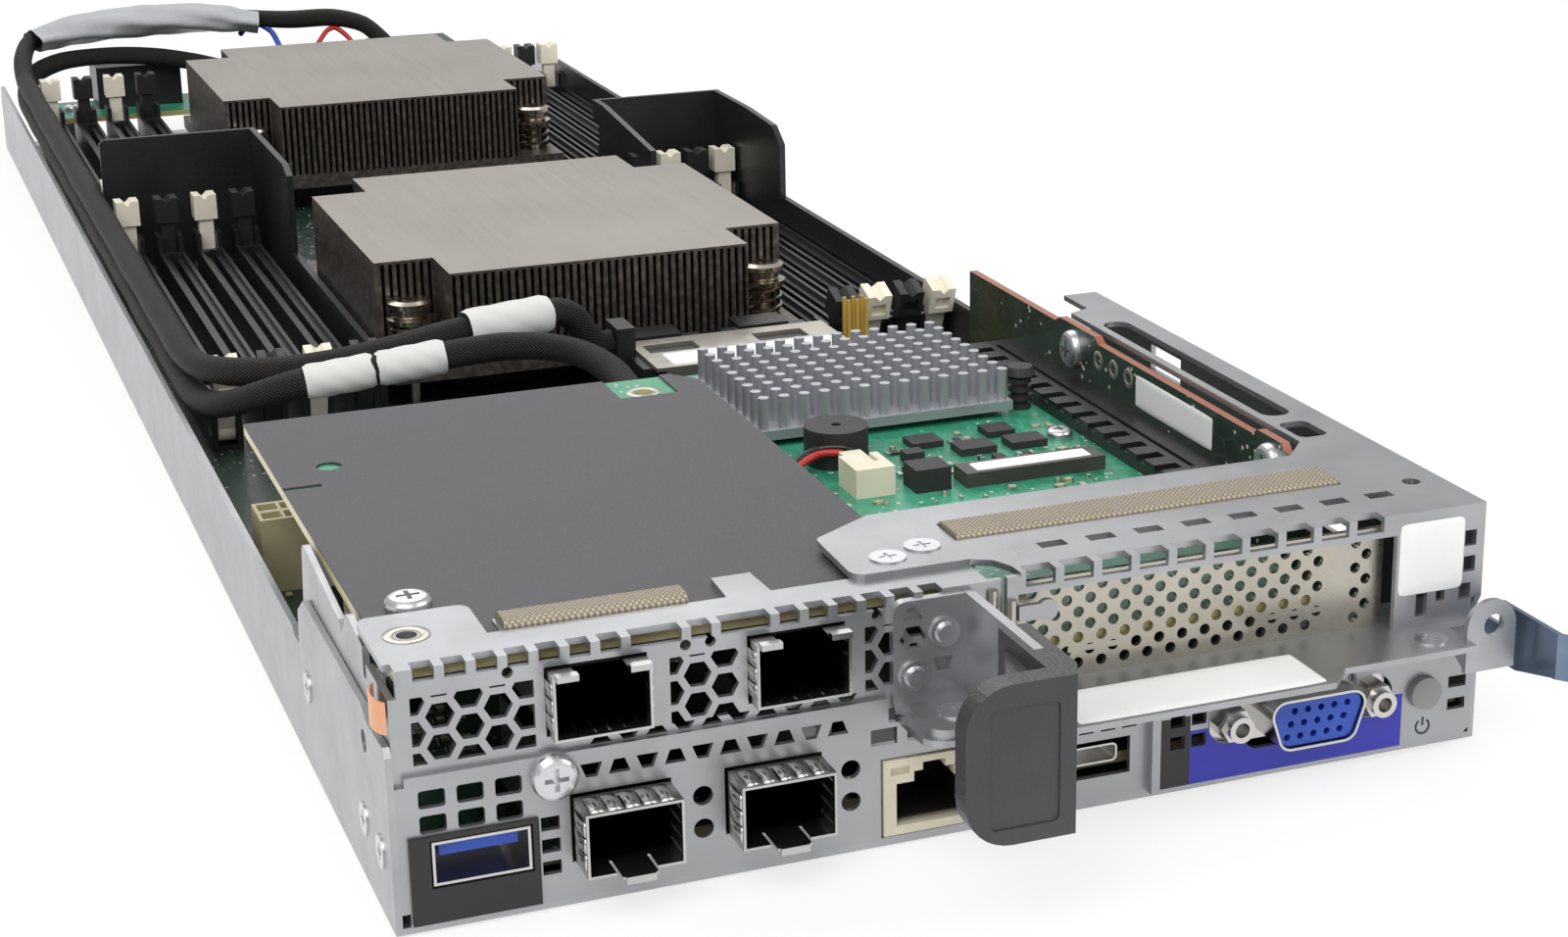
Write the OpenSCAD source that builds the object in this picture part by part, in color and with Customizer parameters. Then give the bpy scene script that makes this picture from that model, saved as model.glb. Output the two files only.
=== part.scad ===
// Half-width blade server sled: a two-socket compute node on a sheet-metal tray.
// Millimetres. X runs right along the front panel, Y runs from front to rear, Z is up.
// The origin is the centre of the tray's underside.

/* [Sled] */
// Width over the two side walls
sled_w = 174.4; // [174:0.2:190]
// Depth from the front panel to the rear edge of the tray
sled_d = 574.5; // [570:0.5:620]
// Height of the riser cage's top plate above the underside
sled_h = 39.8; // [39.4:0.2:44]
// Thickness of the folded sheet
sheet_t = 1; // [0.8:0.1:1.2]
// Height of the tray's side walls
wall_h = 20.5; // [19:0.5:22]

/* [Boards] */
// Height of the standoffs under the motherboard
standoff_h = 4; // [3.5:0.1:4.5]
// Thickness of the motherboard
board_t = 1.8; // [1.6:0.1:2]
// Thickness of the cards
card_t = 1.6; // [1.4:0.1:1.8]
// Depth of the network card
mezz_d = 119; // [112:1:124]
// Depth of the add-in card
raid_d = 152; // [148:1:158]

/* [Front panel] */
// Height at which the lower panel ends and the upper panel starts
split_z = 23.4; // [23:0.1:24]
// Width of a pluggable transceiver cage
cage_w = 14.25; // [14:0.05:14.5]
// Height of a pluggable transceiver cage
cage_h = 9.8; // [9.6:0.05:10]
// Depth of a pluggable transceiver cage
cage_d = 48; // [44:1:50]
// Wall of a pluggable transceiver cage
cage_t = 0.4; // [0.3:0.05:0.5]
// Width across the flats of a honeycomb vent
hex_af = 3.6; // [3.2:0.1:3.8]
// Diameter of the power button
button_d = 5.4; // [5:0.1:5.8]
// Travel of the power button
button_travel = 0.8; // [0.5:0.1:1]

/* [Handle and latch] */
// Reach of the handle in front of the panel
handle_reach = 34; // [30:1:40]
// Width of the finger plate
grip_w = 18; // [17:0.2:20]
// Height of the finger plate
grip_h = 23.6; // [21:0.2:23.8]
// Thickness of the finger plate
grip_t = 3.6; // [3:0.1:4]
// Length of the latch leaf behind the panel
latch_l = 32; // [28:1:36]
// Thickness of the latch leaf
latch_t = 0.8; // [0.6:0.1:0.9]

/* [Processors and coolers] */
// Width of a processor cooler
cooler_w = 92; // [90:0.5:93]
// Depth of a processor cooler
cooler_d = 100; // [98:1:106]
// Spacing of the fins
fin_pitch = 1.7; // [1.5:0.1:2.4]
// Thickness of a fin
fin_t = 0.9; // [0.6:0.05:1]
// Spacing of a cooler's four screws
screw_pitch = 80; // [79:0.5:81]
// Distance from the panel to the middle of the front cooler
cooler_y = 265.3; // [262:0.5:270]
// Distance between the middles of the two coolers
cooler_step = 197; // [190:1:205]

/* [Memory sockets] */
// Length of a memory socket between its towers
dimm_l = 134; // [130:1:136]
// Width of a memory socket
dimm_w = 6.2; // [6:0.1:6.4]
// Height of a memory socket
dimm_h = 8.4; // [8:0.1:9]
// Spacing of the sockets by the left wall
dimm_pitch_left = 9.5; // [9:0.1:10]
// Spacing of the sockets by the right wall
dimm_pitch_right = 7.6; // [7.5:0.1:7.6]
// Height of an ejector above the board
ejector_h = 21.5; // [20:0.5:23]

/* [Hidden] */

// Clearance of a hole round a fixed piece, on each side
fit_gap = 0.3;
// Radial clearance of a shaft that turns or slides in its bore
run_gap = 0.05;
// Heights of the board, the panels' joint line and the two levels of top plate
board_z = sheet_t + standoff_h;
board_top = board_z + board_t;
shelf_z = wall_h - sheet_t;
cage_plate_z = sled_h - sheet_t;
mezz_plate_z = sled_h - 2 * sheet_t;
// Network card: insulator, card and the cages that hang from it
insulator_t = 0.4;
mezz_card_z = mezz_plate_z - insulator_t - card_t;
upper_cage_z = mezz_card_z - cage_h;
mezz_x = [2.8, 84.2];
mezz_y0 = 5.2;
// Left edges and front faces of the transceiver cages
lower_cage_x = [25.8, 48.6];
lower_cage_y = -7;
upper_cage_x = [23.2, 52.8];
upper_cage_y = -2.4;
// Front of the stepped right-hand part of the lower panel, and where the step is
jog_y = -1.6;
jog_x = 116;
panel_right = sled_w - 1.8;
// Riser cage: post beside the card slot, right edge of the slot, and the rear arm
slot_x = [93.6, sled_w - 15.9];
arm_x = sled_w - 11.4;
arm_y = 138.5;
cage_y = 32.2;
// Shelf in front of the card slot, and the guard ear at its right end
shelf_front = -14.2;
shelf_step = -10;
ear_y = -8.6;
ear_r = 4.4;
ear_x = sled_w - 3.6;
// Handle: left face of the metal leg, and the middle height of the finger plate
leg_x = 85.6;
handle_t = 1.5;
grip_z = mezz_plate_z + 0.4 - grip_h / 2;
// Latch: pivot line, the leaf's stand-off from the wall and its height range
latch_x = sled_w + 0.4;
latch_out = 2.6;
latch_z = [13.2, 23.2];
latch_front = -18.5;
latch_root_l = 13;
// Coolers: underside of the base, heights of base and cap, corner notches
lid_h = 7.2;
cooler_x = 94.2;
cooler_z = board_top + lid_h;
cooler_base_t = 3.6;
cooler_top = mezz_plate_z - 0.8;
cap_t = 0.6;
notch_w = (cooler_w - screw_pitch) / 2 + 6.8;
notch_d = (cooler_d - screw_pitch) / 2 + 5.4;
screw_head_d = 10.2;
screw_top = cooler_z + 16;
screw_head_h = 5;
// Memory sockets: first socket by each wall, middles of the banks, ejectors. The front row of each
// bank rests leaning open, the rear row upright
dimm_count = 4;
dimm_left_x = 11.4;
dimm_right_x = sled_w - 6.4 - (dimm_count - 1) * dimm_pitch_right;
bank_y = [cooler_y + 16.2, cooler_y + 16.2 + 177];
tower_l = 7.4;
tower_h = 12.2;
cheek_gap = 3.9;
pivot_h = 3.6;
pivot_out = 4.4;
pivot_r = 1;
front_lean = 22;
// Air baffles between the two banks
baffle_t = 1.5;
rail_z = board_top + 12.6;
baffle_y = bank_y[0] + dimm_l / 2 + pivot_out + 17;
baffle_top = mezz_plate_z + 2.6;
// Add-in card, its riser and the slot between them
riser_x = sled_w - 14.4;
riser_slot_d = 11.2;
riser_slot_y = [57, 146];
raid_z = 25.2;
raid_x0 = 88.6;
raid_y0 = 4.7;
card_screw = [riser_x - 15.2, 92.6];
bracket_y = 3.5;
bracket_t = 0.9;
// Rear connector board
rear_board_z = 12;
rear_board_y = [sled_d - 32, sled_d - 4];
rear_posts = [[20, sled_d - 18], [152, sled_d - 18]];
board_d = sled_d - 36;

// Routes of the two sleeved cables, drawn from the front-left corner, and their radii
cable_a_r = 2.9;
cable_b_r = 2.9;
cable_a = [
    [76, 128.6, 31.5], [76, 135, 31.5], [75.6, 145, 33], [72.6, 155, 34.2], [66.6, 162, 34.6],
    [59, 165.6, 34.4], [50, 167, 33.6], [20, 169, 30.6], [12.6, 174.6, 27.4], [7.4, 183, 24],
    [5, 194, 22], [4.4, 210, 21.4], [4.4, 530, 21.8], [5.6, 541, 24.2], [9.6, 550, 27.4], [18, 553.6, 29.8],
    [32, 553, 30.6], [46, 551.4, 29.6], [58, 549, 27.4], [66, 547.4, 25.2], [71, 547, 24.2],
    [75, 547, 24], [80, 547, 24]
];
cable_b = [
    [88.6, 190, 25.6], [85.6, 190, 25.6], [82.6, 189.4, 28.6], [80.4, 188.6, 32.2],
    [76.4, 187.6, 34.15], [54, 182.31, 33.65], [40, 180, 32], [29, 179.8, 30.8], [18.6, 182, 29.8],
    [10.6, 188, 29], [6, 198, 28], [4.5, 212, 27.6], [4.5, 530, 28.2], [5.6, 545, 33],
    [10, 556, 36.6], [22, 562, 38.6], [40, 563.4, 39.6], [58, 562.6, 40], [74, 560.6, 38.6],
    [90, 558.6, 37.2], [104, 556.6, 37.2], [113, 553, 35], [118.4, 549.6, 30], [121.6, 547.4, 25.8],
    [124.6, 547, 24], [128, 547, 24]
];
// Sleeves of tape: cable radius, both ends, thickness
sleeves = [
    [cable_a_r, [48.4, 167.107, 33.44], [35.2, 167.987, 32.12], 0.5],
    [cable_a_r, [34.6, 168.027, 32.06], [21.4, 168.907, 30.74], 0.5],
    [cable_b_r, [74.4, 187.128, 34.105], [56.2, 182.829, 33.699], 1.1]
];

// ---- Drawing aids ----

// Moves what is drawn from the front-left corner of the underside to the origin's frame
module sled() { translate([-sled_w / 2, -sled_d / 2, 0]) children(); }

// A box between two bounds on each axis
module box(x, y, z) {
    translate([x[0], y[0], z[0]]) cube([x[1] - x[0], y[1] - y[0], z[1] - z[0]]);
}

// Stands a shape drawn in (x, z) with its front face at y
module upright(y, t) {
    translate([0, y + t, 0]) rotate([90, 0, 0]) linear_extrude(t) children();
}

// Stands a shape drawn in (y, z) with its left face at x
module sideways(x, t) {
    translate([x, 0, 0]) rotate([90, 0, 90]) linear_extrude(t) children();
}

// Lays a shape drawn in (x, y) with its underside at z
module level(z, t) { translate([0, 0, z]) linear_extrude(t) children(); }

// A rectangle between two bounds on each axis
module area(x, y) { translate([x[0], y[0]]) square([x[1] - x[0], y[1] - y[0]]); }

// A rectangle with round corners between two bounds on each axis
module round_area(x, y, r) {
    area([x[0] + r, x[1] - r], y);
    area(x, [y[0] + r, y[1] - r]);
    for (cx = [x[0] + r, x[1] - r], cy = [y[0] + r, y[1] - r])
        translate([cx, cy]) circle(r, $fn = 24);
}

// Points of an arc about a centre
function arc(c, r, a0, a1, n = 6) =
    [for (i = [0:n]) let (a = a0 + (a1 - a0) * i / n) [c[0] + r * cos(a), c[1] + r * sin(a)]];

// Honeycomb cells whose centres lie in a grid of columns, clipped to a window
module honeycomb(x, z) {
    step_x = hex_af * 1.13;
    step_z = hex_af * 1.28;
    columns = ceil((x[1] - x[0]) / step_x);
    rows = ceil((z[1] - z[0]) / step_z);
    intersection() {
        area(x, z);
        for (i = [0:columns], j = [0:rows])
            translate([x[0] + i * step_x, z[0] + (j + (i % 2) / 2) * step_z])
                circle(hex_af / sqrt(3), $fn = 6);
    }
}

// A trapezoid vent, wide side up or down
module trapezoid_vent(x, z, up, h = 2.1) {
    w = 3.2;
    s = up ? 1 : -1;
    translate([x, z]) polygon([[-w / 2, s * h / 2], [w / 2, s * h / 2], [w / 4, -s * h / 2],
        [-w / 4, -s * h / 2]]);
}

// A cross recess, sunk from z = 0
module cross_recess(d, depth) {
    for (a = [0, 90]) rotate(a) translate([-d / 2, -d / 10, -depth]) cube([d, d / 5, depth + 1]);
}

// A pan-head screw standing on z = 0, head up, its shank going down
module pan_screw(d, h, shank = 0, length = 0) {
    difference() {
        union() {
            rotate_extrude($fn = 32) polygon(concat([[0, 0], [d / 2, 0], [d / 2, h * 0.35]],
                arc([d / 2 - h * 0.65, h * 0.35], h * 0.65, 0, 90, 4), [[0, h]]));
            if (length > 0) translate([0, 0, -length]) cylinder(d = shank, h = length + 0.1, $fn = 24);
        }
        translate([0, 0, h]) cross_recess(d * 0.5, h * 0.6);
    }
}

// A flat-head screw whose top stands a little above z = 0
module flat_screw(d, shank = 0, length = 0) {
    rise = 0.3;
    difference() {
        union() {
            cylinder(d = d, h = rise, $fn = 32);
            if (length > 0) translate([0, 0, -length]) cylinder(d = shank, h = length + 0.1, $fn = 24);
        }
        translate([0, 0, rise]) cross_recess(d * 0.5, 0.2);
    }
}

// A tube swept along a smooth curve through a route's points, with flat ends
function mix(a, b, t) = a * (1 - t) + b * t;
function unit(v) = v / norm(v);
function tangent(p, i) = unit(p[min(i + 1, len(p) - 1)] - p[max(i - 1, 0)]);
function side_of(v) = let (s = cross(v, [0, 0, 1])) norm(s) < 0.01 ? [1, 0, 0] : unit(s);
module tube(route, r, sides = 8) {
    rings = [for (i = [0:len(route) - 1])
        let (v = tangent(route, i), s = side_of(v), u = cross(s, v))
            [for (k = [0:sides - 1]) let (a = 360 * (k + 0.5) / sides)
                route[i] + r * (cos(a) * s + sin(a) * u)]];
    points = [for (ring = rings) each ring];
    last = len(route) - 1;
    polyhedron(points, concat(
        [[for (k = [sides - 1:-1:0]) k]],
        [for (i = [0:last - 1], k = [0:sides - 1])
            [i * sides + k, i * sides + (k + 1) % sides, (i + 1) * sides + (k + 1) % sides,
                (i + 1) * sides + k]],
        [[for (k = [0:sides - 1]) last * sides + k]]));
}

// ---- Tray ----

module left_wall_shape() {
    raised = 29;
    polygon(concat([[0, 0], [0, 26.8]], [[1.2, 28]], [[11, 27.4], [15, raised], [58, raised]],
        [[63.5, raised - 3.4], [64.5, wall_h - 1], [68, wall_h - 1], [70, wall_h]],
        arc([sled_d - 6, wall_h - 6], 6, 90, 0), [[sled_d, 0]]));
}

module right_wall_shape() {
    polygon(concat([[0, 0], [0, wall_h]], arc([sled_d - 6, wall_h - 6], 6, 90, 0), [[sled_d, 0]]));
}

// Centres of the motherboard's standoffs
standoffs = [for (y = [52, 200.5, 380, board_d - 12], x = [46.5, sled_w - 37.4]) [x, y]];

module base_tray() {
    color("gainsboro") sled() difference() {
        union() {
            level(0, sheet_t) area([0, sled_w], [0, sled_d]);
            sideways(0, sheet_t) left_wall_shape();
            sideways(sled_w - sheet_t, sheet_t) right_wall_shape();
            for (p = standoffs) translate([p[0], p[1], 0]) cylinder(d = 6.5, h = board_z, $fn = 32);
            for (p = rear_posts) translate([p[0], p[1], 0]) cylinder(d = 6.5, h = rear_board_z, $fn = 32);
        }
        for (p = concat(standoffs, rear_posts)) translate([p[0], p[1], sheet_t])
            cylinder(d = 3, h = rear_board_z + 2, $fn = 24);
        // Round hole near the front of the left wall
        translate([-1, 14.5, 23.6]) rotate([0, 90, 0]) cylinder(d = 3.4, h = 3, $fn = 24);
    }
}

// ---- Front panels ----

usb_x = 12.6;
usb_w = 14;
usb_h = 6.6;
rj45_x = [72.6, 88.6];
rj45_z = [1.6, 13.6];
vga_x = 141.7;
vga_z = 11;
vga_half = 12.5;
button_x = sled_w - 10.8;
button_z = 10.2;

// Openings shared by the whole lower panel, drawn in (x, z)
module left_panel_openings() {
    for (k = [0:2], z = [14.7, 18.5]) round_area([4.2 + 5.4 * k, 8 + 5.4 * k], [z, z + 2.7], 0.5);
    area([usb_x - usb_w / 2 - fit_gap, usb_x + usb_w / 2 + fit_gap],
        [board_top - fit_gap, board_top + usb_h + fit_gap]);
    for (z = [5.2, 8.6, 12]) area([21.2, 23.9], [z, z + 2.1]);
    for (x = lower_cage_x) area([x - fit_gap, x + cage_w + fit_gap],
        [board_top - fit_gap, board_top + cage_h + fit_gap]);
    for (x = [45, 67.6], z = [8.1, 13.2]) translate([x, z]) circle(d = 3, $fn = 24);
    for (k = [0:9]) trapezoid_vent(28.8 + 4.1 * k, 20.1, k % 2 == 0);
    area([rj45_x[0] - fit_gap, rj45_x[1] + fit_gap], [rj45_z[0] - fit_gap, rj45_z[1] + fit_gap]);
    for (k = [0:3]) area([70.8 + 5.7 * k, 74.9 + 5.7 * k], [16.2, 18.8]);
    for (k = [-2:2]) area([104.4 + 3.6 * k, 106.8 + 3.6 * k], [12.2, 14.2]);
    area([101.4, 113], [4.8, board_top + 4]);
}

module right_panel_openings() {
    for (x = [119, 122.6], z = [7.8, 11.4]) area([x, x + 2.5], [z, z + 2.1]);
    for (s = [-1, 1]) translate([vga_x + s * vga_half, vga_z]) circle(r = 3.7, $fn = 32);
    round_area([vga_x - 9.6, vga_x + 9.6], [vga_z - 5.4, vga_z + 5.4], 2);
    translate([button_x, button_z]) circle(d = button_d + 2 * run_gap, $fn = 40);
    for (z = [6.2, 10]) area([sled_w - 6.2, sled_w - 3], [z, z + 1.9]);
    area([button_x - 2.6, button_x + 0.6], [shelf_z - 2.4, shelf_z - 1.4]);
}

module io_panel() {
    lap = 0.6;
    color("silver") sled() {
        difference() {
            upright(0, sheet_t) difference() {
                polygon([[sheet_t, 3], [2.2, 3], [2.2, sheet_t], [jog_x + sheet_t, sheet_t],
                    [jog_x + sheet_t, shelf_z], [73.6, shelf_z], [73.6, split_z], [2.4, split_z],
                    [2.4, split_z - 1.4], [sheet_t, split_z - 1.4]]);
                left_panel_openings();
            }
            translate([23.3, -1, 20.3]) rotate([-90, 0, 0]) cylinder(d = 3.2, h = 4, $fn = 24);
        }
        // Left return flange, standing against the tray's wall
        sideways(sheet_t, sheet_t) area([sheet_t, 26], [3, split_z - 2]);
        // Step and the right-hand part, which stands further forward
        sideways(jog_x, sheet_t) area([jog_y, sheet_t], [sheet_t, shelf_z]);
        upright(jog_y, sheet_t) difference() {
            polygon([[jog_x, sheet_t], [panel_right - 2, sheet_t], [panel_right, sheet_t + 2],
                [panel_right, shelf_z], [jog_x, shelf_z]]);
            right_panel_openings();
        }
        // Foot of the right-hand part, turned back onto the tray's floor
        level(sheet_t, sheet_t) area([jog_x + 2, panel_right - 2], [jog_y + lap, 5]);
    }
}

// Vents along the bend of the network card's bracket: [left, right] of each opening
mezz_slots = concat([for (k = [0:6]) [4.7 + 4.4 * k, 7.7 + 4.4 * k]], [[35.5, 42.9], [44.3, 47.3],
    [48.7, 56.1]], [for (k = [0:5]) [57.5 + 4.4 * k, 60.5 + 4.4 * k]]);
mezz_face_y = sheet_t;
gasket_x = [20, 47];
gasket_y = [10.4, 15.8];
riser_gasket_x = [91.6, sled_w - 16.6];
riser_gasket_y = [16.6, 24];
gasket_floor = 0.4;

module mezz_plate_shape() {
    polygon(concat(arc([4.2, 3.2], 3, 180, 270), [[90, 0.2], [90, 19.4], [74, 19.4], [74, 9.2], [59.4, 9.2],
        [59, 17.4], [53, 17.4], [52.6, 9.2], [47.4, 9.2]], [[17.4, 9.2]],
        arc([15.4, 19.4], 2, 0, 90), arc([3.2, 19.4], 2, 90, 180)));
}

module mezz_bracket() {
    color("silver") sled() {
        difference() {
            union() {
                upright(mezz_face_y, sheet_t) polygon([[sheet_t + 0.2, split_z - 2],
                    [92, split_z - 2], [92, mezz_plate_z + sheet_t],
                    [sheet_t + 0.2, mezz_plate_z + sheet_t]]);
                translate([0, mezz_face_y - 0.2, 0]) level(mezz_plate_z, sheet_t) mezz_plate_shape();
            }
            for (s = mezz_slots) box(s, [0, mezz_face_y + 2.6], [mezz_plate_z - 0.9, sled_h]);
            upright(0, 4) {
                area([0.9, 2.3], [mezz_plate_z - 3, sled_h]);
                honeycomb([4.1, 21.4], [24.6, mezz_card_z - 1.2]);
                honeycomb([41, 51.2], [24.6, mezz_card_z - 1.2]);
                honeycomb([70.4, 80.6], [24.6, mezz_card_z - 1.2]);
                for (k = [0:9]) trapezoid_vent(30.6 + 4.1 * k, split_z + 0.7, k % 2 == 1, 1.1);
                for (x = upper_cage_x) area([x - fit_gap, x + cage_w + fit_gap],
                    [upper_cage_z - fit_gap, upper_cage_z + cage_h + fit_gap]);
                for (x = [17.8, 43.4, 47.1, 72.3]) translate([x, mezz_card_z + 0.4])
                    circle(d = 1.6, $fn = 24);
            }
            translate([6.8, 13.6, mezz_plate_z - 1]) cylinder(d = 3, h = 4, $fn = 24);
            for (p = ear_screws) translate([p[0], p[1], mezz_plate_z - 1]) cylinder(d = 3, h = 4, $fn = 24);
            translate([23.3, -1, 20.3]) rotate([-90, 0, 0]) cylinder(d = 3.2, h = 4, $fn = 24);
        }
        // Narrow tongue under the spring gasket
        level(mezz_plate_z, gasket_floor) area([gasket_x[0] - 0.4, gasket_x[1] + 0.4],
            [9, gasket_y[1] + 0.4]);
        // Left flange inside the tray's wall
        sideways(sheet_t + 0.1, sheet_t) polygon(concat([[mezz_face_y, split_z - 1],
            [mezz_face_y, mezz_plate_z - 3], [15, mezz_plate_z - 3], [15, mezz_plate_z - 5.4],
            [17, mezz_plate_z - 5.4], [17, mezz_plate_z - 1]], arc([27, mezz_plate_z - 2.4], 2.4, 90, 20),
            [[32, mezz_plate_z - 4.6], [34, mezz_plate_z - 3.2]],
            arc([60, mezz_plate_z - 3], 2.4, 90, 0), [[64, 27], [60, split_z - 1]]));
    }
}

// Screws through the cage's ear into the network card's bracket
ear_screws = [[79, 13.4], [85.6, 16]];

// Top plate of the riser cage, from its left ear to the rear end of its arm
module cage_plate_shape() {
    polygon(concat([[sled_w, 0], [sled_w, arm_y], [arm_x + 4.4, arm_y], [arm_x + 4.4, 128],
        [arm_x, 126], [arm_x, 38], [arm_x - 5, cage_y], [83, cage_y]],
        arc([75, 24], 3, 150, 180, 2), arc([74, 10.6], 2.4, 180, 270),
        [[90, 8.2], [93, 6.4], [94.4, 3.2], [slot_x[0] + 1, 0]]));
}

cage_slots = [for (k = [0:9]) [slot_x[0] + 1.8 + 6.2 * k, slot_x[0] + 6.6 + 6.2 * k]];

module riser_cage() {
    color("silver") sled() difference() {
        union() {
            level(cage_plate_z, sheet_t) cage_plate_shape();
            // Front face: post, band over the card slot and the right-hand panel
            upright(0, sheet_t) polygon([[slot_x[0] - 1.2, wall_h], [slot_x[0] + 0.6, wall_h],
                [slot_x[0] + 0.6, 36.4], [slot_x[1], 36.4], [slot_x[1], wall_h],
                [panel_right, wall_h], [panel_right, latch_z[1] + 1], [sled_w, latch_z[1] + 1],
                [sled_w, cage_plate_z + 0.5], [slot_x[0] - 1.2, cage_plate_z + 0.5]]);
            // Side flange on the tray's wall, and the arm's own narrow flange
            sideways(sled_w - sheet_t, sheet_t) polygon([[0, latch_z[1] + 1], [2, wall_h], [36, wall_h],
                [44, 29], [arm_y, 29], [arm_y, cage_plate_z + 0.5], [0, cage_plate_z + 0.5]]);
            // Tongue bent round the end of the card's bracket
            upright(-0.8, 0.9) {
                area([slot_x[0] + 0.4, 98.6], [32.4, 34.8]);
                translate([98.6, 33.6]) circle(r = 1.7, $fn = 32);
            }
        }
        for (s = cage_slots) box(s, [-1, 2.6], [37.4, sled_h + 1]);
        level(cage_plate_z - 1, sheet_t + 2) {
            for (k = [0:7]) area([101.8 + 8.1 * k, 106.2 + 8.1 * k], [8.2, 10.6]);
            round_area([arm_x + 1.6, sled_w - 4.4], [52, 117], 2.5);
            round_area([arm_x + 1.2, sled_w - 4.8], [39.5, 48], 1.5);
        }
        // Shallow pocket for the spring gasket
        level(cage_plate_z + gasket_floor, sheet_t) area([riser_gasket_x[0] - fit_gap,
            riser_gasket_x[1] + fit_gap], [riser_gasket_y[0] - fit_gap, riser_gasket_y[1] + fit_gap]);
        for (p = concat(ear_screws, [[sled_w - 5.6, 13]]))
            translate([p[0], p[1], cage_plate_z - 1]) cylinder(d = 3, h = 4, $fn = 24);
        upright(-1, 3) {
            for (p = [[34.2, 0], [29.9, 0], [25.4, -0.6]]) area([sled_w - 3.6 + p[1], sled_w - 1.5 + p[1]],
                [p[0] - 1.3, p[0] + 1.3]);
            area([162.4, 164.4], [22.4, 27]);
            area([166, 167.6], [24.4, 28]);
        }
        sideways(sled_w - 3, 4) {
            area([30, 36], [31, 36.4]);
            area([100, 112], [31, 36]);
        }
    }
}

// Shelf that closes the gap under the card slot, with a guard ear turned up beside the latch
module shelf_bracket() {
    color("silver") sled() {
        difference() {
            union() {
                level(shelf_z, sheet_t) polygon(concat([[75, sheet_t]], arc([79, -7.4], 4, 180, 270, 4),
                    [[84, shelf_front], [140, shelf_front], [144, shelf_step],
                    [ear_x - ear_r + 1, shelf_step], [ear_x - ear_r + 1, -2], [panel_right, -2],
                    [panel_right, 11], [slot_x[0] - 1.2, 11], [slot_x[0] - 1.2, sheet_t]]));
                upright(ear_y, sheet_t) {
                    area([ear_x - ear_r, ear_x + ear_r], [15.4, 22.6]);
                    translate([ear_x, 22.6]) circle(r = ear_r, $fn = 40);
                }
                sideways(ear_x - ear_r, sheet_t) polygon([[ear_y, 15.4], [ear_y, wall_h], [-2, wall_h],
                    [-2, shelf_z]]);
            }
            translate([ear_x + 0.4, ear_y - 1, 22.8]) rotate([-90, 0, 0]) cylinder(d = 3.6, h = 4, $fn = 24);
            for (p = [[82, -5.2], [sled_w - 12.4, -5]])
                translate([p[0], p[1], shelf_z - 1]) cylinder(d = 3, h = 4, $fn = 24);
        }
    }
}

// Perforated bracket of the add-in card
module pcie_bracket() {
    x0 = slot_x[0] + 0.9;
    x1 = slot_x[1] - fit_gap;
    color("antiquewhite") sled() {
        difference() {
            upright(bracket_y, bracket_t) area([x0, x1], [wall_h, 36.8]);
            for (j = [0:6], i = [for (k = [0:12]) k, 14.2]) translate([x0 + 3.4 + 3.9 * (i + (j % 2) / 2), 0,
                wall_h + 2 + 2.05 * j]) rotate([-90, 0, 0]) cylinder(d = 1.75, h = 8, $fn = 20);
        }
        // Two tabs turned back under the card
        for (x = [104, 138]) box([x, x + 10], [bracket_y, bracket_y + 9], [raid_z - bracket_t, raid_z]);
        // Two rolled contact springs between the handle and the slot's post
        for (c = [[90.4, mezz_face_y, 31], [slot_x[0] - 0.6, 0, 29.4]]) translate([c[0], c[1], c[2]])
            difference() {
                cylinder(r = 0.9, h = 6.4, $fn = 32);
                translate([-2, 0, -1]) cube([4, 2, 9]);
            }
    }
}

// Spring gasket with a round top, lying along X
module gasket(x, y, z, h) {
    r = h * 0.8;
    sideways(x[0], x[1] - x[0]) {
        area(y, [z, z + h - r]);
        area([y[0] + r, y[1] - r], [z, z + h]);
        intersection() {
            area(y, [z, z + h]);
            for (c = [y[0] + r, y[1] - r]) translate([c, z + h - r]) circle(r, $fn = 32);
        }
    }
}

module emi_gaskets() {
    color("tan") sled() {
        gasket(gasket_x, gasket_y, mezz_plate_z + gasket_floor, 1.7);
        gasket(riser_gasket_x, riser_gasket_y, cage_plate_z + gasket_floor, 1.4);
    }
}

// Copper contact that bulges past the left flange above the tray's wall
module contact_finger() {
    t = 0.3;
    r = 6.6;
    c = [r - 0.7, 4.8];
    a = 34;
    color("darksalmon") sled() translate([0, 0, 29.8]) linear_extrude(4.8) difference() {
        intersection() {
            translate(c) circle(r, $fn = 96);
            area([-2, sheet_t + 0.1], [c[1] - r * sin(a), c[1] + r * sin(a)]);
        }
        translate(c) circle(r - t, $fn = 96);
    }
}

// ---- Handle ----

module handle_bracket() {
    plate_x = [74.2, leg_x + handle_t];
    leg_z = [22.6, mezz_plate_z + 0.4];
    flange_z = wall_h;
    y0 = mezz_face_y - handle_t;
    color("silver") sled() difference() {
        union() {
            upright(y0, handle_t) round_area(plate_x, [flange_z, leg_z[1]], 2);
            sideways(leg_x, handle_t) area([-24, y0 + handle_t], leg_z);
            level(flange_z, handle_t) {
                area([plate_x[0] + 2, leg_x - 1], [-5, mezz_face_y]);
                round_area([plate_x[0] + 2, leg_x - 1], [-11, mezz_face_y - 1], 3);
            }
        }
        upright(-2, 5) {
            translate([77.3, 32.4]) circle(hex_af / sqrt(3), $fn = 6);
            trapezoid_vent(77.3, 36.2, false);
            trapezoid_vent(82, 27.8, true);
            for (p = rivets) translate([p[0], p[1]]) circle(d = 2.6, $fn = 24);
        }
        translate([82, -5.2, flange_z - 1]) cylinder(d = 3, h = 4, $fn = 24);
        for (z = [leg_z[0] + 4, leg_z[1] - 4]) translate([leg_x - 1, -20, z]) rotate([0, 90, 0])
            cylinder(d = 3, h = 4, $fn = 24);
    }
}

rivets = [[82.2, 32.8], [77.4, 26.6]];

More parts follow.
